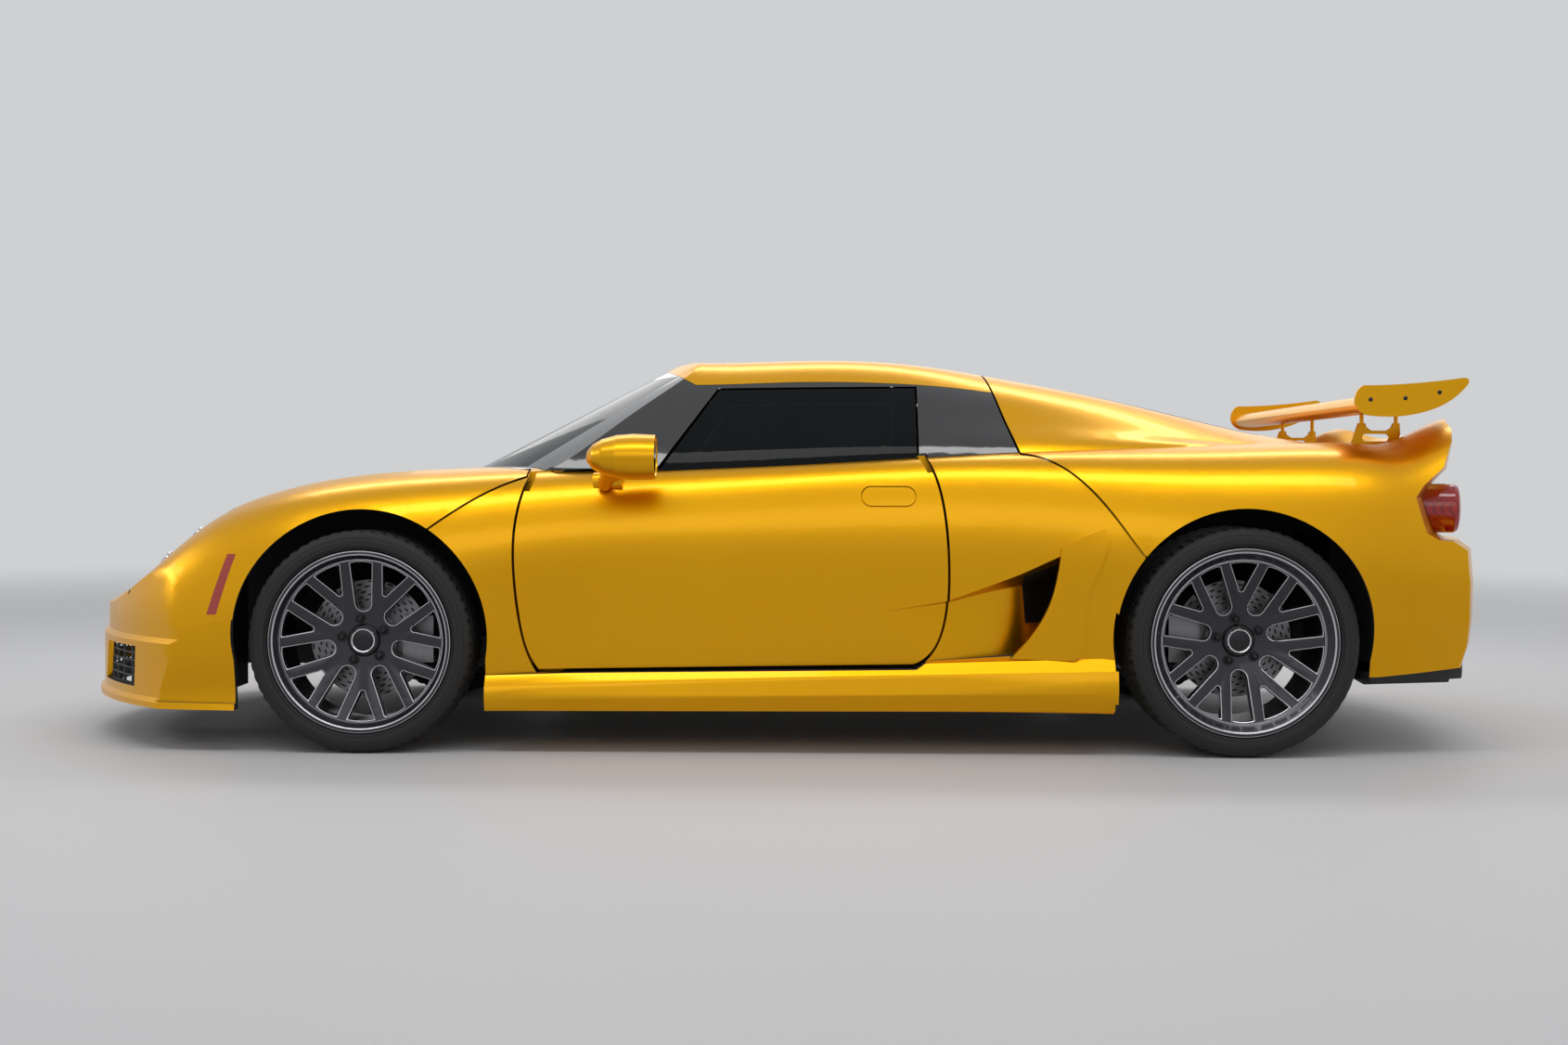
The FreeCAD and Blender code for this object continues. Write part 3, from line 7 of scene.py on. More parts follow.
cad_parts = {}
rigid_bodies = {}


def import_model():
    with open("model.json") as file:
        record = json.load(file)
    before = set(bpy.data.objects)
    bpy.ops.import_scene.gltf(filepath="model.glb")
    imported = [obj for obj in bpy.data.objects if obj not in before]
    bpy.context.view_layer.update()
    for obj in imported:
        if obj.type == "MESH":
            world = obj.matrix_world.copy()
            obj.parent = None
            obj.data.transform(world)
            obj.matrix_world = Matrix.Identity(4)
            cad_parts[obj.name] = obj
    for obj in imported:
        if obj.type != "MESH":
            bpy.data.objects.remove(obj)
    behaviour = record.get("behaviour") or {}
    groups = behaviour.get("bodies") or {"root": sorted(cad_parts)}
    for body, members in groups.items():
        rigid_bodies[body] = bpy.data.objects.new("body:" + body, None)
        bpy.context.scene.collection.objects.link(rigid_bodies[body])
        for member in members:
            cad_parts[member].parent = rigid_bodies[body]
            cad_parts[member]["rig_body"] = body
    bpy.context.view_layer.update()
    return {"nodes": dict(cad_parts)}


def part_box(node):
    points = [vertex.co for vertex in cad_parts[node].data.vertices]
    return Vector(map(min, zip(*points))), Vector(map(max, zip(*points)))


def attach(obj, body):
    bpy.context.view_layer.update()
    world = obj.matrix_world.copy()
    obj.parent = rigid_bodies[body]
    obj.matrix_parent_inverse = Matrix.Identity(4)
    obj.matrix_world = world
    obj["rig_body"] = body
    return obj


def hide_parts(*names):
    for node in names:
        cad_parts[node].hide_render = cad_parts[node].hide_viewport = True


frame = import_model()
nodes = frame["nodes"]

# Body panels: both clamshells, doors, flanks and roof, and the fittings that are painted with them.
# Glass-fibre skins under pearl yellow lacquer, with fine flakes below a clear coat; their inner sides are left bare.
# A black net is painted into the duct's mouth in each flank: partly the intake's mesh, partly painted shade of the
# hollow.
weld_distance = 1e-5
crease_angle = 28


class Value:
    """A socket of a shader node, so that its maths is written as a formula."""

    def __init__(self, owner, socket):
        self.owner = owner
        self.socket = socket

    def maths(self, operation, *others):
        return self.owner.node("ShaderNodeMath", {"operation": operation}, [self, *others])

    def __add__(self, other):
        return self.maths("ADD", other)

    def __mul__(self, other):
        return self.maths("MULTIPLY", other)

    def __sub__(self, other):
        return self.maths("SUBTRACT", other)

    def __rsub__(self, other):
        return self.owner.node("ShaderNodeMath", {"operation": "SUBTRACT"}, [other, self])

    def __pow__(self, other):
        return self.maths("POWER", other)

    def __gt__(self, other):
        return self.maths("GREATER_THAN", other)

    def __lt__(self, other):
        return self.maths("LESS_THAN", other)

    __radd__ = __add__
    __rmul__ = __mul__


class ShaderTree:
    """A tree of shader nodes; node() adds any node and returns one of its outputs."""

    def __init__(self, tree):
        self.tree = tree

    def node(self, kind, settings=None, inputs=(), output=0):
        made = self.tree.nodes.new(kind)
        for name, value in (settings or {}).items():
            setattr(made, name, value)
        pairs = inputs.items() if isinstance(inputs, dict) else enumerate(inputs)
        for key, value in pairs:
            self.join(value, made.inputs[key])
        return Value(self, made.outputs[output])

    def join(self, value, socket):
        if isinstance(value, Value):
            self.tree.links.new(value.socket, socket)
        else:
            socket.default_value = value


class Finish(ShaderTree):
    """A material; the numbers that are the same all over it are given by name."""

    def __init__(self, name, **fixed):
        self.material = bpy.data.materials.new(name)
        self.material.use_nodes = True
        super().__init__(self.material.node_tree)
        self.surface = self.tree.nodes["Principled BSDF"]
        for socket, value in fixed.items():
            self.feed(socket.replace("_", " "), value)

    def feed(self, socket, value):
        self.join(value, self.surface.inputs[socket])

    def place(self):
        return self.node("ShaderNodeTexCoord", output="Object")

    def part(self, vector, axis):
        return self.node("ShaderNodeSeparateXYZ", inputs=[vector], output=axis)

    def noise(self, scale, detail=3.0, roughness=0.5):
        return self.node("ShaderNodeTexNoise", inputs={"Vector": self.place(), "Scale": scale, "Detail": detail,
                                                       "Roughness": roughness})

    def mix(self, share, first, second):
        return self.node("ShaderNodeMix", {"data_type": "RGBA"}, {0: share, 6: first, 7: second}, output=2)

    def bump(self, height, strength, distance):
        self.feed("Normal", self.node("ShaderNodeBump", inputs={"Height": height, "Strength": strength,
                                                                "Distance": distance}))


def smooth(mesh, degrees):
    """Welds a mesh's loose triangles and shades it smooth, with creases over the angle."""
    shape = bmesh.new()
    shape.from_mesh(mesh)
    bmesh.ops.remove_doubles(shape, verts=shape.verts, dist=weld_distance)
    for face in shape.faces:
        face.smooth = True
    for edge in shape.edges:
        edge.smooth = len(edge.link_faces) == 2 and edge.calc_face_angle(0.0) < math.radians(degrees)
    shape.to_mesh(mesh)
    shape.free()


def dress(node, finish, lining=None):
    """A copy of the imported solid, welded and given its finish, with a lining on the faces that look inwards."""
    source = nodes[node]
    piece = bpy.data.objects.new(node + "_surface", source.data.copy())
    bpy.context.scene.collection.objects.link(piece)
    piece.data.materials.clear()
    piece.data.materials.append(finish.material)
    smooth(piece.data, crease_angle)
    if lining:
        core_reach, core_height, inwards = 1.2, 0.3, -0.02
        piece.data.materials.append(lining.material)
        for face in piece.data.polygons:
            core = Vector((max(-core_reach, min(core_reach, face.center.x)), 0.0, core_height))
            face.material_index = int(face.normal.dot(face.center - core) < inwards)
    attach(piece, source["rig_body"])
    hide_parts(node)


laminate = Finish("bare_laminate", Roughness=0.7)
weave = laminate.noise(120.0, 4.0, 0.6)
laminate.feed("Base Color", laminate.mix(weave, (0.010, 0.010, 0.011, 1), (0.022, 0.022, 0.023, 1)))
laminate.bump(weave, 0.3, 0.0006)
paint = Finish("pearl_yellow", Coat_Roughness=0.03)
spot = paint.place()
flakes = paint.node("ShaderNodeTexVoronoi", inputs={"Vector": spot, "Scale": 900.0}, output="Color")
glitter = paint.node("ShaderNodeSeparateColor", inputs=[flakes])
drift = paint.noise(2.2, 2.0)
golden = paint.mix(drift * 0.5 + glitter * 0.3, (0.84, 0.420, 0.003, 1), (0.74, 0.335, 0.002, 1))
# Near-black net painted over the recessed floor of each duct: partly the intake's black mesh, partly painted shade of
# the hollow.
mouth_front, mouth_lean, mouth_back = 0.735, 0.10, 0.80
mouth_bottom, mouth_top, mouth_outside = 0.36, 0.66, 0.862
along, outward, height = paint.part(spot, "X"), paint.part(spot, "Y").maths("ABSOLUTE"), paint.part(spot, "Z")
duct_net_shade_mask = ((along > mouth_front - height * mouth_lean) * (along < mouth_back) * (height > mouth_bottom)
              * (height < mouth_top) * (outward < mouth_outside))
holes = paint.node("ShaderNodeTexVoronoi", inputs={"Vector": spot, "Scale": 210.0}, output="Distance")
net_and_painted_shade = paint.mix(holes > 0.35, (0.030, 0.030, 0.032, 1), (0.003, 0.003, 0.003, 1))
paint.feed("Base Color", paint.mix(duct_net_shade_mask, golden, net_and_painted_shade))
paint.feed("Roughness", glitter * 0.10 + 0.28 + duct_net_shade_mask * 0.35)
paint.feed("Metallic", 0.97 - duct_net_shade_mask * 0.6)
paint.feed("Coat Weight", 0.2 - duct_net_shade_mask * 0.2)
for panel in ("front_clamshell", "rear_clamshell", "flank_left", "flank_right", "door_left", "door_right", "roof"):
    dress(panel, paint, lining=laminate)
for fitting in ("rear_wing", "mirror_left", "mirror_right", "door_handle_left", "door_handle_right"):
    dress(fitting, paint)

# Mirror glasses: an oval pane in the back of each mirror head.
# Silvered glass with a ground edge, glued to a carrier inside the painted shell.
silvered = Finish("silvered_glass", Metallic=1.0, Roughness=0.02)
silvered.feed("Base Color", silvered.mix(silvered.noise(8.0), (0.42, 0.44, 0.46, 1), (0.46, 0.48, 0.50, 1)))
head_back, head_aside, head_height = -0.3348, 0.950, 0.820
pane_squash = 0.7875
pane_outline = [(0.0, 0.0025), (0.0640, 0.0025), (0.0655, 0.0015), (0.0655, 0.0), (0.0, 0.0)]


def lathe(shape, profile, steps, seat):
    """Turns (radius, height) points round the local Z axis and puts the form at its seat."""
    own = bmesh.new()
    points = [own.verts.new((radius, 0.0, height)) for radius, height in profile]
    edges = [own.edges.new(pair) for pair in zip(points, points[1:])]
    bmesh.ops.spin(own, geom=points + edges, cent=(0, 0, 0), axis=(0, 0, 1), dvec=(0, 0, 0), angle=2 * math.pi,
                   steps=steps, use_merge=True, use_duplicate=False)
    bmesh.ops.remove_doubles(own, verts=own.verts, dist=1e-6)
    bmesh.ops.recalc_face_normals(own, faces=own.faces)
    bmesh.ops.transform(own, matrix=seat, verts=own.verts)
    held = bpy.data.meshes.new("turned_form")
    own.to_mesh(held)
    own.free()
    shape.from_mesh(held)
    bpy.data.meshes.remove(held)


def fit(name, shape, body, finishes, degrees=30, choose=None):
    """Makes a piece of a finished shape, with one finish or several that are chosen face by face."""
    mesh = bpy.data.meshes.new(name)
    shape.to_mesh(mesh)
    shape.free()
    for finish in finishes:
        mesh.materials.append(finish.material)
    if choose:
        for face in mesh.polygons:
            face.material_index = choose(face.center)
    smooth(mesh, degrees)
    piece = bpy.data.objects.new(name, mesh)
    bpy.context.scene.collection.objects.link(piece)
    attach(piece, body)
    return piece


for side, hand in ((-1, "left"), (1, "right")):
    pane = bmesh.new()
    upright = (Matrix.Translation((head_back, side * head_aside, head_height))
               @ Matrix.Diagonal((1.0, 1.0, pane_squash, 1.0)) @ Matrix.Rotation(math.radians(90), 4, "Y"))
    lathe(pane, pane_outline, 56, upright)
    fit("mirror_glass_" + hand, pane, "door_" + hand, [silvered])

# Gloss black parts: the screen surround with its pillars, and the quarter panels.
# Moulded skins in black lacquer, with a faint orange-peel texture in the coat.
black_gloss = Finish("black_lacquer", Roughness=0.12, Coat_Weight=1.0, Coat_Roughness=0.04)
peel = black_gloss.noise(260.0, 1.0)
black_gloss.feed("Base Color", black_gloss.mix(peel, (0.008, 0.008, 0.009, 1), (0.014, 0.014, 0.016, 1)))
black_gloss.bump(peel, 0.04, 0.0002)
for panel in ("screen_frame", "quarter_panels"):
    dress(panel, black_gloss)

# Glass: windscreen, door glass and rear window.
# Curved safety glass with a deep tint, bonded in, with a thin haze that dulls it in patches.
glass = Finish("tinted_glass", IOR=1.2, Alpha=0.94)
haze = glass.noise(5.0)
glass.feed("Base Color", glass.mix(haze, (0.004, 0.005, 0.006, 1), (0.008, 0.009, 0.010, 1)))
glass.feed("Roughness", haze * 0.03 + 0.015)
for pane in ("windscreen", "door_glass_left", "door_glass_right", "rear_window"):
    dress(pane, glass)

# Lamp covers: one over each pair of headlamps, flush with the front clamshell.
# Clear polycarbonate, moulded to the panel's curve.
lens = Finish("clear_cover", Roughness=0.03, Coat_Weight=1.0, Alpha=0.20)
lens.feed("Base Color", lens.mix(lens.noise(3.0), (0.70, 0.73, 0.75, 1), (0.78, 0.80, 0.82, 1)))
dress("headlamps", lens)

# Lamp units: a satin black tray under each cover, with two projectors in bright bezels.
# Moulded trays on the clamshell's inner side, and glass bulbs clipped into their bezels.
tray_black = Finish("lamp_tray", Roughness=0.45)
mottle = tray_black.noise(300.0, 2.0)
tray_black.feed("Base Color", tray_black.mix(mottle, (0.015, 0.015, 0.016, 1), (0.030, 0.030, 0.032, 1)))
dress("lamp_units", tray_black)
bright = Finish("bright_bezel", Metallic=1.0, Roughness=0.10)
bright.feed("Base Color", bright.mix(bright.noise(80.0, 2.0), (0.70, 0.71, 0.73, 1), (0.80, 0.81, 0.82, 1)))
bulb = Finish("lamp_glass", Roughness=0.04, Coat_Weight=1.0)
bulb.feed("Base Color", bulb.mix(bulb.noise(20.0), (0.10, 0.12, 0.15, 1), (0.22, 0.25, 0.30, 1)))
projector_places = ((-1.716, 0.600, 0.492), (-1.613, 0.640, 0.566))
projector_way = Vector((-1.0, 0.0, 0.35)).normalized()
projector_reach = 0.0563
bezel_outline = [(0.026, 0.0), (0.034, 0.0), (0.036, 0.004), (0.034, 0.008), (0.030, 0.007), (0.026, 0.0)]
bulb_outline = [(0.0, 0.0), (0.0255, 0.0002), (0.0255, 0.004), (0.020, 0.013), (0.011, 0.018), (0.0, 0.0195)]


def facing(place, direction):
    """A seat at a place whose Z axis points in a direction."""
    return Matrix.Translation(place) @ Vector(direction).to_track_quat("Z", "Y").to_matrix().to_4x4()


bezel_rings = bmesh.new()
bulbs = bmesh.new()
for side in (1, -1):
    for x, y, z in projector_places:
        seat = facing(Vector((x, side * y, z)) + projector_way * projector_reach, projector_way)
        lathe(bezel_rings, bezel_outline, 40, seat)
        lathe(bulbs, bulb_outline, 40, seat)
fit("lamp_bezels", bezel_rings, "front_clam", [bright])
fit("lamp_bulbs", bulbs, "front_clam", [bulb])

# Coloured lenses: deep red side markers behind the nose and four round tail lamps.
# Moulded acrylic over a prismatic back, snapped into pockets in the panels.
marker = Finish("marker_lens", Roughness=0.12, Coat_Weight=1.0)
prism = marker.node("ShaderNodeTexWave", {"bands_direction": "Z"}, {"Vector": marker.place(), "Scale": 90.0})
marker.feed("Base Color", marker.mix(prism, (0.30, 0.010, 0.002, 1), (0.46, 0.026, 0.003, 1)))
dress("side_markers", marker)
ruby = Finish("tail_lens", Roughness=0.10, Coat_Weight=0.5)
ribs = ruby.node("ShaderNodeTexWave", {"bands_direction": "Y"}, {"Vector": ruby.place(), "Scale": 60.0})
ruby.feed("Base Color", ruby.mix(ribs, (0.24, 0.003, 0.003, 1), (0.42, 0.006, 0.005, 1)))
dress("tail_lamps", ruby)

# Satin black mouldings: the louvred engine cover, the diffuser and the crash box behind the nose.
# Grained black plastic, screwed to the clamshells and the tub.
satin = Finish("satin_moulding")
grain = satin.noise(420.0, 2.0)
satin.feed("Base Color", satin.mix(grain, (0.018, 0.018, 0.019, 1), (0.034, 0.034, 0.036, 1)))
satin.feed("Roughness", grain * 0.2 + 0.38)
satin.bump(grain, 0.25, 0.0004)
for moulding in ("engine_cover", "diffuser", "crash_box"):
    dress(moulding, satin)

# Intake meshes: bars and netting in the nose openings and in the side ducts.
# Expanded metal painted black, held by the edges of the openings.
mesh_paint = Finish("painted_mesh", Metallic=0.4)
chips = mesh_paint.noise(600.0, 2.0)
mesh_paint.feed("Base Color", mesh_paint.mix(chips, (0.010, 0.010, 0.011, 1), (0.024, 0.024, 0.025, 1)))
mesh_paint.feed("Roughness", chips * 0.2 + 0.4)
for grille in ("front_grilles", "side_intakes"):
    dress(grille, mesh_paint)

# Rims: split spokes from a dished centre, in satin dark grey.
# Cast alloy; the edges of every window are rounded over, and the rounds are coloured light grey as a painted
# highlight, a thin line of light.
wheel_paint = Finish("satin_alloy", Metallic=0.75, Coat_Weight=0.35, Coat_Roughness=0.08)
cast = wheel_paint.noise(700.0, 2.0)
wheel_paint.feed("Base Color", wheel_paint.mix(cast, (0.026, 0.026, 0.031, 1), (0.046, 0.046, 0.053, 1)))
wheel_paint.feed("Roughness", cast * 0.10 + 0.28)
# The rounded window edges get a light grey colour that stands in for a thin highlight: a painted highlight.
edge_painted_highlight = Finish("painted_highlight_edge", Metallic=0.9, Roughness=0.25, Coat_Weight=0.4)
edge_painted_highlight.feed("Base Color", edge_painted_highlight.mix(edge_painted_highlight.noise(500.0), (0.50, 0.50, 0.53, 1), (0.62, 0.62, 0.65, 1)))
flat_enough = math.radians(0.6)
sharp_edge = math.radians(40)
edge_round = 0.0026
wheels = [(end, side, end + "_" + side) for end in ("front", "rear") for side in ("left", "right")]
for end, side, wheel in wheels:
    rim = bmesh.new()
    rim.from_mesh(nodes["rim_" + wheel].data)
    bmesh.ops.remove_doubles(rim, verts=rim.verts, dist=weld_distance)
    bmesh.ops.dissolve_limit(rim, angle_limit=flat_enough, verts=rim.verts, edges=rim.edges)
    sharp = [edge for edge in rim.edges if len(edge.link_faces) == 2 and edge.calc_face_angle(0.0) > sharp_edge]
    rounded = bmesh.ops.bevel(rim, geom=sharp, offset=edge_round, offset_type="OFFSET", affect="EDGES", segments=2,
                              profile=0.5, material=-1, clamp_overlap=False)
    for face in rounded["faces"]:
        face.material_index = 1
    piece = fit("rim_" + wheel + "_surface", rim, "wheel_" + wheel, [wheel_paint, edge_painted_highlight])
    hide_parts("rim_" + wheel)

# Wheel fixings: five capped nuts on washers, and a plain hub cap with a bright ring on each wheel.
# The steel nuts clamp the rim to the hub; the cap clips into the centre bore.
nut_steel = Finish("black_nut", Metallic=0.8, Roughness=0.28)
nut_steel.feed("Base Color", nut_steel.mix(nut_steel.noise(300.0), (0.020, 0.020, 0.022, 1),
                                           (0.045, 0.045, 0.048, 1)))
nut_count = 5
first_nut = 27
nut_circle = 0.061
nut_lift = 0.0002
hub_depths = {"front": 0.070, "rear": 0.092}
rim_inset = 0.005
washer_outline = [(0.0, 0.003), (0.0140, 0.003), (0.0145, 0.002), (0.0145, 0.0), (0.0, 0.0)]
nut_outline = [(0.0, 0.017), (0.006, 0.0165), (0.0100, 0.013), (0.0105, 0.003), (0.0, 0.003)]
cap_outline = [(0.0, 0.0002), (0.0445, 0.0002), (0.0450, 0.003), (0.0410, 0.007), (0.0350, 0.008), (0.0350, 0.012),
               (0.0325, 0.0145), (0.0295, 0.0135), (0.0280, 0.0095), (0.0200, 0.0115), (0.0100, 0.0125),
               (0.0, 0.0128)]
ring_inside, ring_outside, ring_bottom = 0.0275, 0.0352, 0.0085


def wheel_seat(wheel):
    """The tyre's middle, with Z out of the car, and half the tyre's width."""
    low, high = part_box("tyre_" + wheel)
    middle = (Vector(low) + Vector(high)) / 2
    return facing(middle, (0.0, math.copysign(1.0, middle.y), 0.0)), (high[1] - low[1]) / 2


for end, side, wheel in wheels:
    seat, half = wheel_seat(wheel)
    pad = seat @ Matrix.Translation((0.0, 0.0, half - rim_inset - hub_depths[end]))
    nuts = bmesh.new()
    for number in range(nut_count):
        turn = Matrix.Rotation(math.radians(first_nut + number * 360 / nut_count), 4, "Z")
        nut_seat = pad @ turn @ Matrix.Translation((nut_circle, 0, nut_lift))
        lathe(nuts, washer_outline, 24, nut_seat)
        lathe(nuts, nut_outline, 6, nut_seat)
    fit("nuts_" + wheel, nuts, "wheel_" + wheel, [nut_steel])
    cap = bmesh.new()
    lathe(cap, cap_outline, 56, pad)

    def ring_or_cap(place):
        place = pad.inverted() @ place
        return int(ring_inside < math.hypot(place.x, place.y) < ring_outside and place.z > ring_bottom)

    fit("hub_cap_" + wheel, cap, "wheel_" + wheel, [nut_steel, bright], choose=ring_or_cap)

# Brake discs: vented, with drilled faces that are bright where the pads sweep.
# Turned iron castings that the rims clamp to the hubs; the holes are not cut but painted near black as painted shade,
# in spirals from the middle.
spirals, sweep, rows = 18, 90, 420
drilled = 0.55
drilled_from = 0.1
for end in ("front", "rear"):
    iron = Finish("machined_iron_" + end, Metallic=0.9)
    turning = iron.noise(90.0, 4.0, 0.7)
    seat, half = wheel_seat(end + "_left")
    from_axle = iron.node("ShaderNodeVectorMath", {"operation": "SUBTRACT"}, [iron.place(), seat.translation])
    across, upward = iron.part(from_axle, "X"), iron.part(from_axle, "Z")
    radius = (across ** 2 + upward ** 2) ** 0.5
    spiral = (upward.maths("ARCTAN2", across) * spirals + radius * sweep).maths("SINE")
    rings = (radius * rows).maths("SINE")
    # Near-black spots of painted shade stand in for the drilled holes.
    painted_hole_shade = (spiral * rings > drilled) * (radius > drilled_from)
    swept = iron.mix(turning, (0.20, 0.20, 0.21, 1), (0.34, 0.34, 0.35, 1))
    iron.feed("Base Color", iron.mix(painted_hole_shade, swept, (0.010, 0.010, 0.010, 1)))
    iron.feed("Roughness", turning * 0.25 + 0.25)
    for side in ("left", "right"):
        dress("brake_disc_" + end + "_" + side, iron)

# Tyres: low-profile, with four grooves round the tread, cut shoulder blocks and plain ribs on the walls.
# Moulded rubber, pressed onto the rims' bead seats.
rubber = Finish("tyre_rubber")
worn = rubber.noise(60.0, 5.0, 0.6)
rubber.feed("Base Color", rubber.mix(worn, (0.007, 0.007, 0.007, 1), (0.016, 0.016, 0.015, 1)))
rubber.feed("Roughness", worn * 0.2 + 0.62)
rubber.bump(worn, 0.2, 0.0006)
bead_radius = 0.2413
flange_radii = {"front": 0.252, "rear": 0.260}
segments = 120
groove_places = (0.50, 0.17, -0.17, -0.50)
groove_top, groove_floor, groove_depth = 0.0042, 0.0030, 0.006
block_from, block_to = 0.54, 0.93
cut_width, cut_depth = 0.0052, 0.0045
for end, side, wheel in wheels:
    seat, half = wheel_seat(wheel)
    low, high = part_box("tyre_" + wheel)
    outer = (high[2] - low[2]) / 2
    flange = flange_radii[end]
    wall = outer - flange
    near_line = [(bead_radius, half - 0.0213), (flange + 0.0008, half - 0.0203), (flange + 0.003, half - 0.0120),
                 (flange + 0.006, half - 0.0062), (flange + 0.009, half - 0.0030), (flange + 0.0105, half - 0.0040),
                 (flange + 0.0125, half - 0.0016), (flange + 0.40 * wall, half), (flange + 0.42 * wall, half - 0.0009),
                 (flange + 0.45 * wall, half - 0.0002), (flange + 0.62 * wall, half - 0.0022),
                 (flange + 0.64 * wall, half - 0.0034), (flange + 0.67 * wall, half - 0.0028),
                 (flange + 0.82 * wall, half - 0.0074), (flange + 0.92 * wall, half - 0.0135),
                 (outer - 0.0018, 0.86 * half), (outer, 0.80 * half)]
    tread = []
    for middle in [place * half for place in groove_places]:
        tread += [(outer, middle + groove_top), (outer - groove_depth, middle + groove_floor),
                  (outer - groove_depth, middle - groove_floor), (outer, middle - groove_top)]
    far_line = [(radius, -height) for radius, height in reversed(near_line)]
    tyre = bmesh.new()
    lathe(tyre, near_line + tread + far_line + near_line[:1], segments, Matrix.Identity(4))
    blocks = []
    for face in tyre.faces:
        place = face.calc_center_median()
        number = int(math.atan2(place.y, place.x) / (2 * math.pi) * segments + segments)
        on_tread = math.hypot(place.x, place.y) > outer - groove_depth
        if number % 2 and on_tread and block_from < abs(place.z) / half < block_to:
            blocks.append(face)
    bmesh.ops.inset_region(tyre, faces=blocks, thickness=cut_width, depth=-cut_depth, use_even_offset=True,
                           use_boundary=True)
    bmesh.ops.transform(tyre, matrix=seat, verts=tyre.verts)
    piece = fit("tyre_" + wheel + "_surface", tyre, "wheel_" + wheel, [rubber], degrees=32)
    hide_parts("tyre_" + wheel)

# Chassis and running gear: tub, arms and uprights, engine, silencer and exhaust tips.
# Welded steel under powder coat, plated forgings, a cast alloy block, heat-stained sheet and polished tube.
coat = Finish("powder_coat", Roughness=0.55)
speckle = coat.noise(350.0)
coat.feed("Base Color", coat.mix(speckle, (0.030, 0.030, 0.032, 1), (0.060, 0.060, 0.062, 1)))
coat.bump(speckle, 0.2, 0.0004)
dress("tub", coat)
plated = Finish("plated_steel", Metallic=0.9)
scuff = plated.noise(45.0, 4.0, 0.6)
plated.feed("Base Color", plated.mix(scuff, (0.22, 0.22, 0.23, 1), (0.38, 0.38, 0.39, 1)))
plated.feed("Roughness", scuff * 0.25 + 0.28)
for arm in ("knuckle_left", "knuckle_right", "front_wishbones", "rear_suspension"):
    dress(arm, plated)
alloy = Finish("cast_alloy", Metallic=0.8, Roughness=0.5)
sand = alloy.noise(200.0, 4.0, 0.6)
alloy.feed("Base Color", alloy.mix(sand, (0.20, 0.20, 0.21, 1), (0.34, 0.34, 0.35, 1)))
alloy.bump(sand, 0.3, 0.0006)
dress("engine", alloy)
sooty = Finish("heat_stained_steel", Metallic=0.7, Roughness=0.55)
stain = sooty.noise(9.0, 5.0, 0.6)
sooty.feed("Base Color", sooty.mix(stain, (0.035, 0.032, 0.030, 1), (0.080, 0.066, 0.055, 1)))
dress("silencer", sooty)
tip_steel = Finish("polished_steel", Metallic=1.0, Roughness=0.12)
bluing = tip_steel.noise(12.0)
tip_steel.feed("Base Color", tip_steel.mix(bluing, (0.55, 0.55, 0.56, 1), (0.66, 0.63, 0.58, 1)))
dress("exhaust_tips", tip_steel)

# Inner wings: upright panels that stand on the chassis rails and close the wheel arches off.
# Pressed sheet, coated black and screwed to the rails, with notches over the suspension towers.
sheet_wall = 0.003
front_reach, rear_reach = 0.336, 0.412
front_rail, rear_rail, rear_rail_end, tower_top, deck = 0.2864, 0.2884, 0.2904, 0.4304, 0.740
front_line = [(-1.62, front_rail), (-1.337, front_rail), (-1.337, tower_top), (-0.953, tower_top),
              (-0.953, front_rail), (-0.765, front_rail), (-0.765, 0.742), (-1.0, 0.734), (-1.2, 0.713),
              (-1.4, 0.674), (-1.5, 0.646), (-1.62, 0.600)]
rear_line = [(0.62, rear_rail), (1.080, rear_rail), (1.080, tower_top), (1.506, tower_top), (1.506, rear_rail_end),
             (1.540, rear_rail_end), (1.540, deck), (0.62, deck)]


def cut_sheet(outline, thickness):
    """A flat panel cut to an outline and grown to its thickness, which is a vector."""
    sheet = bmesh.new()
    face = sheet.faces.new([sheet.verts.new(corner) for corner in outline])
    grown = bmesh.ops.extrude_face_region(sheet, geom=[face], use_keep_orig=True)["geom"]
    bmesh.ops.translate(sheet, vec=thickness, verts=[part for part in grown if isinstance(part, bmesh.types.BMVert)])
    bmesh.ops.recalc_face_normals(sheet, faces=sheet.faces)
    return sheet


for end, line, reach in (("front", front_line, front_reach), ("rear", rear_line, rear_reach)):
    for side, hand in ((-1, "left"), (1, "right")):
        sheet = cut_sheet([(x, side * reach, z) for x, z in line], (0, -side * sheet_wall, 0))
        fit("inner_wing_" + end + "_" + hand, sheet, "root", [laminate])

# Arch liners: upright panels ahead of the front wheels and behind the rear ones.
# Black laminate sheets, cut to each clamshell's inner line and bonded to it, so they tip with it.
front_liner = [(0.384, 0.140), (0.8476, 0.140), (0.8582, 0.200), (0.8666, 0.250), (0.8713, 0.300), (0.8715, 0.350),
               (0.8667, 0.400), (0.8558, 0.450), (0.8376, 0.500), (0.8098, 0.550), (0.7990, 0.5630), (0.7490, 0.6030),
               (0.6990, 0.6220), (0.6860, 0.6220), (0.6860, 0.520), (0.384, 0.520)]
rear_liner = [(0.415, 0.256), (0.8885, 0.256), (0.8931, 0.280), (0.8966, 0.300), (0.9050, 0.350), (0.9125, 0.400),
              (0.9188, 0.450), (0.9226, 0.500), (0.9230, 0.550), (0.9181, 0.600), (0.9064, 0.650), (0.8885, 0.700),
              (0.8629, 0.750), (0.415, 0.750)]
front_liner_x, rear_liner_x = -1.600, 1.660
for end, line, x, wheelward in (("front", front_liner, front_liner_x, 1), ("rear", rear_liner, rear_liner_x, -1)):
    for side, hand in ((-1, "left"), (1, "right")):
        sheet = cut_sheet([(x, side * y, z) for y, z in line], (wheelward * sheet_wall, 0, 0))
        fit("arch_liner_" + end + "_" + hand, sheet, end + "_clam", [laminate])

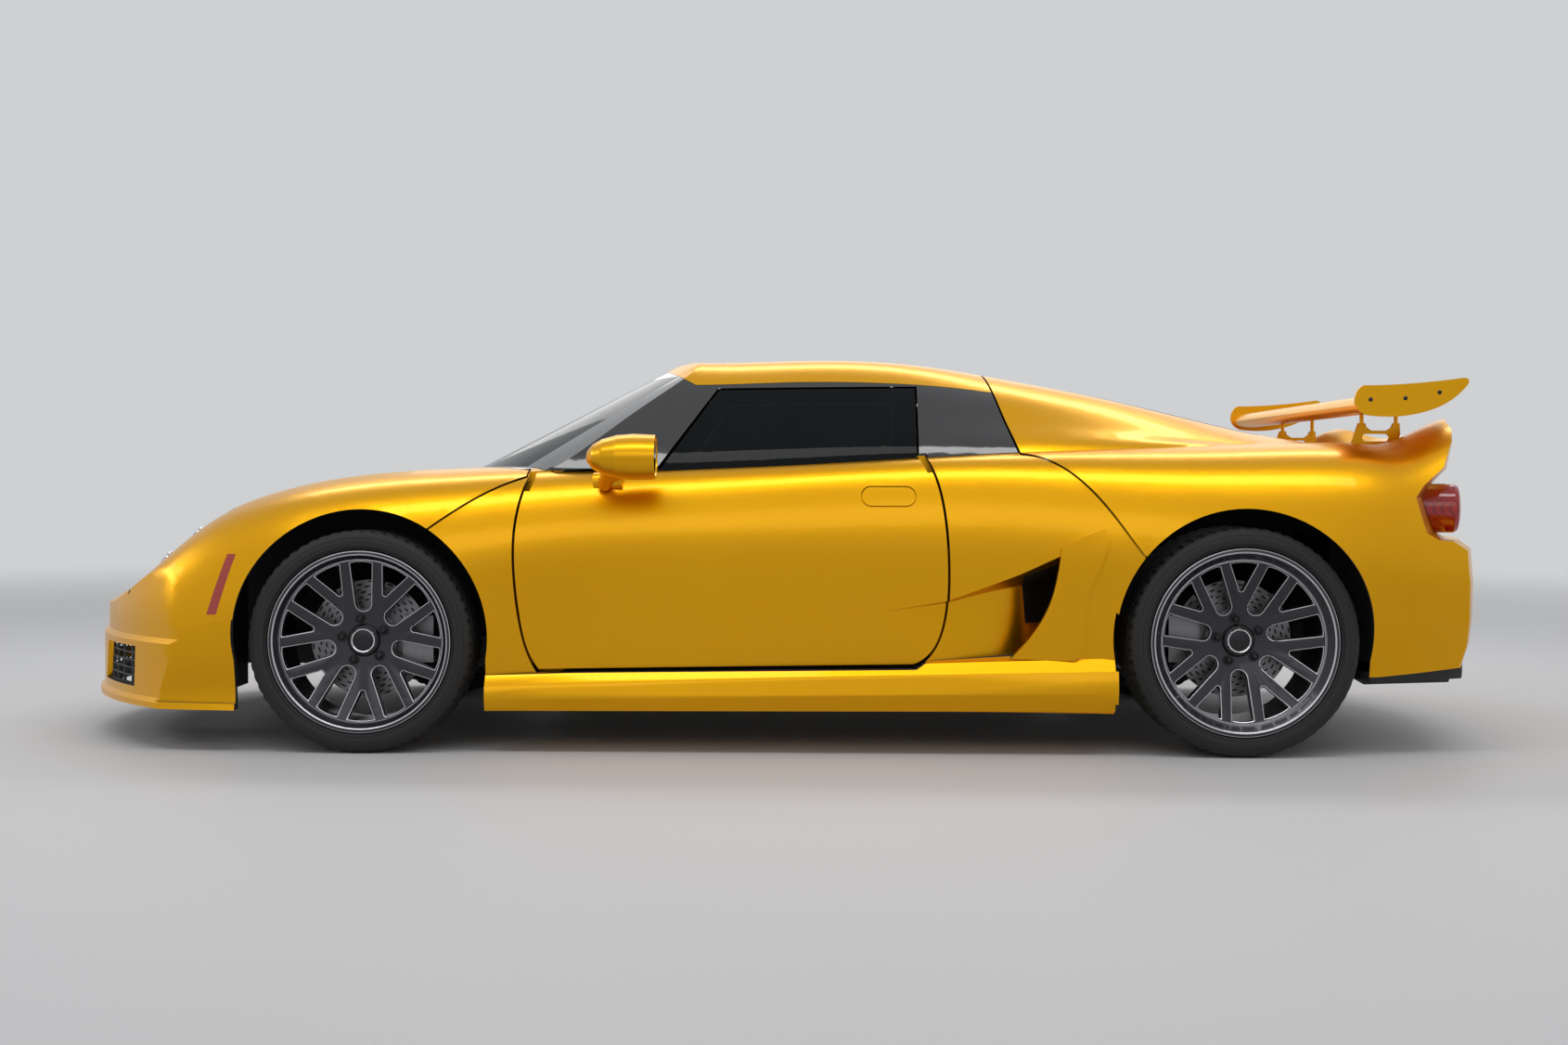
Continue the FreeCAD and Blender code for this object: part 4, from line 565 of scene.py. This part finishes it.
# Cabin: dashboard, centre console and steering wheel.
# Black grained mouldings screwed to the tub, and a wheel bound in black leather.
trim = Finish("grained_trim", Roughness=0.6)
pebble = trim.noise(500.0, 2.0)
trim.feed("Base Color", trim.mix(pebble, (0.020, 0.020, 0.021, 1), (0.040, 0.040, 0.042, 1)))
trim.bump(pebble, 0.3, 0.0004)
for moulding in ("dashboard", "centre_console"):
    dress(moulding, trim)
leather = Finish("black_leather", Roughness=0.5)
hide = leather.node("ShaderNodeTexVoronoi", inputs={"Vector": leather.place(), "Scale": 420.0}, output="Distance")
leather.feed("Base Color", leather.mix(hide, (0.030, 0.027, 0.025, 1), (0.016, 0.015, 0.014, 1)))
leather.bump(hide, 0.3, 0.0005)
dress("steering_wheel", leather)

# Seats: two one-piece buckets with raised side bolsters and sewn channels, fixed to the floor of the tub.
# Foam under black leather. One pad is blown up a little as cloth and its seams pressed in; the other mirrors it.
seat_middle = -0.350
foam_grain = 0.006
cover_shrink = 0.012
bolster_from, bolster_blend = 0.13, 0.05
cushion_floor, cushion_back, cushion_lift = 0.345, 0.10, 0.035
backrest_floor, backrest_back, backrest_push = 0.40, 0.27, 0.040
pressure = 4.0
swell_frames = 20
swell_limit = 0.010
seam_line, seam_depth, seam_width = 0.125, 0.005, 0.007
channel_pitch, channel_share = 0.075, 0.6


def settled(piece):
    """The mesh that a piece's modifiers leave."""
    return bpy.data.meshes.new_from_object(piece.evaluated_get(bpy.context.evaluated_depsgraph_get()))


block = bmesh.new()
block.from_mesh(nodes["seats"].data)
bmesh.ops.remove_doubles(block, verts=block.verts, dist=weld_distance)
bmesh.ops.delete(block, geom=[vertex for vertex in block.verts if vertex.co.y > 0], context="VERTS")
seat_mesh = bpy.data.meshes.new("seat_left")
block.to_mesh(seat_mesh)
block.free()
seat_left = bpy.data.objects.new("seat_left", seat_mesh)
bpy.context.scene.collection.objects.link(seat_left)
seat_mesh.materials.clear()
seat_mesh.materials.append(leather.material)
remesh = seat_left.modifiers.new("remesh", "REMESH")
remesh.mode = "VOXEL"
remesh.voxel_size = foam_grain
shrink = seat_left.modifiers.new("shrink", "DISPLACE")
shrink.strength = -cover_shrink
shrink.mid_level = 0.0
soften = seat_left.modifiers.new("soften", "SMOOTH")
soften.iterations = 12
soften.factor = 0.8
seat_left.data = settled(seat_left)
seat_left.modifiers.clear()
for vertex in seat_left.data.vertices:
    edge = max(0.0, min(1.0, (abs(vertex.co.y - seat_middle) - bolster_from) / bolster_blend))
    raised = edge * edge * (3 - 2 * edge)
    if vertex.co.z > cushion_floor and vertex.co.x < cushion_back:
        vertex.co.z += cushion_lift * raised
    elif vertex.co.x < backrest_back and vertex.co.z > backrest_floor:
        vertex.co.x -= backrest_push * raised
start = [vertex.co.copy() for vertex in seat_left.data.vertices]
cloth = seat_left.modifiers.new("swell", "CLOTH")
cloth.settings.use_pressure = True
cloth.settings.uniform_pressure_force = pressure
cloth.settings.effector_weights.gravity = 0.0
cloth.settings.tension_stiffness = 30
cloth.settings.shear_stiffness = 10
cloth.point_cache.frame_start = 1
cloth.point_cache.frame_end = swell_frames
for frame_number in range(1, swell_frames + 1):
    bpy.context.scene.frame_set(frame_number)
blown = settled(seat_left)
seat_left.modifiers.clear()
seat_left.data = blown
for vertex, first in zip(blown.vertices, start):
    step = vertex.co - first
    vertex.co = first + step * min(1.0, swell_limit / max(step.length, 1e-6))
bpy.context.scene.frame_set(1)
pressed = bmesh.new()
pressed.from_mesh(seat_left.data)
for vertex in pressed.verts:
    aside = abs(vertex.co.y - seat_middle)
    seam = math.exp(-((aside - seam_line) / seam_width) ** 2)
    if aside < seam_line:
        channel = abs((vertex.co.x + vertex.co.z) % channel_pitch - channel_pitch / 2)
        seam += channel_share * math.exp(-(channel / seam_width) ** 2)
    vertex.co -= vertex.normal * seam_depth * min(1.0, seam)
for face in pressed.faces:
    face.smooth = True
pressed.to_mesh(seat_left.data)
bmesh.ops.scale(pressed, vec=(1, -1, 1), verts=pressed.verts)
bmesh.ops.reverse_faces(pressed, faces=pressed.faces)
seat_right = bpy.data.objects.new("seat_right", seat_left.data.copy())
bpy.context.scene.collection.objects.link(seat_right)
pressed.to_mesh(seat_right.data)
pressed.free()
for pad in (seat_left, seat_right):
    rounder = pad.modifiers.new("rounder", "SUBSURF")
    rounder.levels = 1
    rounder.render_levels = 1
    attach(pad, "root")
    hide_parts("seats")

# Rear wing's fixings: slotted struts in body colour and three black bolts on each end plate.
# The struts are bolted to the deck, and the bolts clamp the plates to the ends of the blade.
dress("wing_struts", paint)
bolt_places = ((1.672, 0.993), (1.770, 0.997), (1.866, 1.014))
bolt_outline = [(0.0, 0.0032), (0.0040, 0.0028), (0.0062, 0.0012), (0.0064, -0.001), (0.0, -0.001)]
low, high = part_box("rear_wing")
bolts = bmesh.new()
for side, plate_face in ((-1, low[1]), (1, high[1])):
    for x, z in bolt_places:
        lathe(bolts, bolt_outline, 20, facing((x, plate_face, z), (0, side, 0)))
fit("plate_bolts", bolts, "rear_clam", [nut_steel])

# Studio: a pale floor that fades into a pale backdrop, with soft lamps overhead, at the sides and at the ends.
# The floor is a painted board; past its fade only the backdrop is seen, by the camera, in gloss and through glass.
floor_reach = 16.0
fade_from, fade_to = 4.0, 13.0
ambient = 0.6
softboxes = (("overhead_left", (0.0, -2.6, 4.4), (0.0, -0.6, 0.5), 7.0, 0.9, 85),
             ("overhead_right", (0.0, 2.6, 4.4), (0.0, 0.6, 0.5), 7.0, 0.9, 85),
             ("side_left", (-1.0, -7.5, 3.4), (0.0, 0.0, 0.4), 8.0, 2.4, 46),
             ("side_right", (1.0, 7.5, 3.4), (0.0, 0.0, 0.4), 8.0, 2.4, 46),
             ("front", (-7.5, 0.0, 3.4), (0.0, 0.0, 0.5), 3.5, 1.6, 60),
             ("rear", (7.5, 0.0, 3.4), (0.0, 0.0, 0.5), 3.5, 1.6, 60))
board = bmesh.new()
bmesh.ops.create_grid(board, x_segments=1, y_segments=1, size=floor_reach)
floor_mesh = bpy.data.meshes.new("studio_floor")
board.to_mesh(floor_mesh)
board.free()
floor = bpy.data.objects.new("studio_floor", floor_mesh)
bpy.context.scene.collection.objects.link(floor)
pale = Finish("pale_floor", Roughness=0.6)
pale.feed("Base Color", pale.mix(pale.noise(0.4), (0.60, 0.60, 0.61, 1), (0.63, 0.63, 0.64, 1)))
from_middle = pale.node("ShaderNodeVectorMath", {"operation": "LENGTH"}, [pale.place()], output="Value")
fade = pale.node("ShaderNodeMapRange", {"interpolation_type": "SMOOTHSTEP"},
                 {"Value": from_middle, "From Min": fade_from, "From Max": fade_to})
clear = pale.node("ShaderNodeBsdfTransparent")
faded = pale.node("ShaderNodeMixShader", inputs=[fade, Value(pale, pale.surface.outputs[0]), clear])
pale.join(faded, pale.tree.nodes["Material Output"].inputs["Surface"])
floor_mesh.materials.append(pale.material)
for name, place, target, width, depth, power in softboxes:
    light = bpy.data.lights.new(name, "AREA")
    light.shape = "RECTANGLE"
    light.size = width
    light.size_y = depth
    light.energy = power
    lamp = bpy.data.objects.new(name, light)
    bpy.context.scene.collection.objects.link(lamp)
    lamp.location = place
    lamp.rotation_euler = (Vector(target) - Vector(place)).to_track_quat("-Z", "Y").to_euler()
world = bpy.data.worlds.new("studio")
world.use_nodes = True
backdrop = ShaderTree(world.node_tree)
camera_ray, glossy_ray, clear_ray = [backdrop.node("ShaderNodeLightPath", output=kind)
                                     for kind in ("Is Camera Ray", "Is Glossy Ray", "Is Transmission Ray")]
seen = camera_ray.maths("MAXIMUM", glossy_ray).maths("MAXIMUM", clear_ray)
level = backdrop.node("ShaderNodeMapRange", inputs={"Value": seen, "To Min": ambient})
sky = world.node_tree.nodes["Background"]
backdrop.join((0.62, 0.63, 0.64, 1), sky.inputs["Color"])
backdrop.join(level, sky.inputs["Strength"])
bpy.context.scene.world = world

# Camera: at the height of the door's waist, square to the left side, as the photograph was taken.
# Its place, tilt and roll come from the wheels' places in the picture.
lens_mm = 44.27
sensor_mm = 36.0
camera_place = Vector((0.020, -6.200, 0.752))
down_tilt = 1.185
roll = 0.235
camera_data = bpy.data.cameras.new("side_view")
camera_data.lens = lens_mm
camera_data.sensor_width = sensor_mm
camera = bpy.data.objects.new("side_view", camera_data)
bpy.context.scene.collection.objects.link(camera)
camera.matrix_world = (Matrix.Translation(camera_place) @ Matrix.Rotation(math.radians(90 - down_tilt), 4, "X")
                       @ Matrix.Rotation(math.radians(roll), 4, "Z"))
bpy.context.scene.camera = camera
bpy.context.scene.view_settings.view_transform = "Standard"
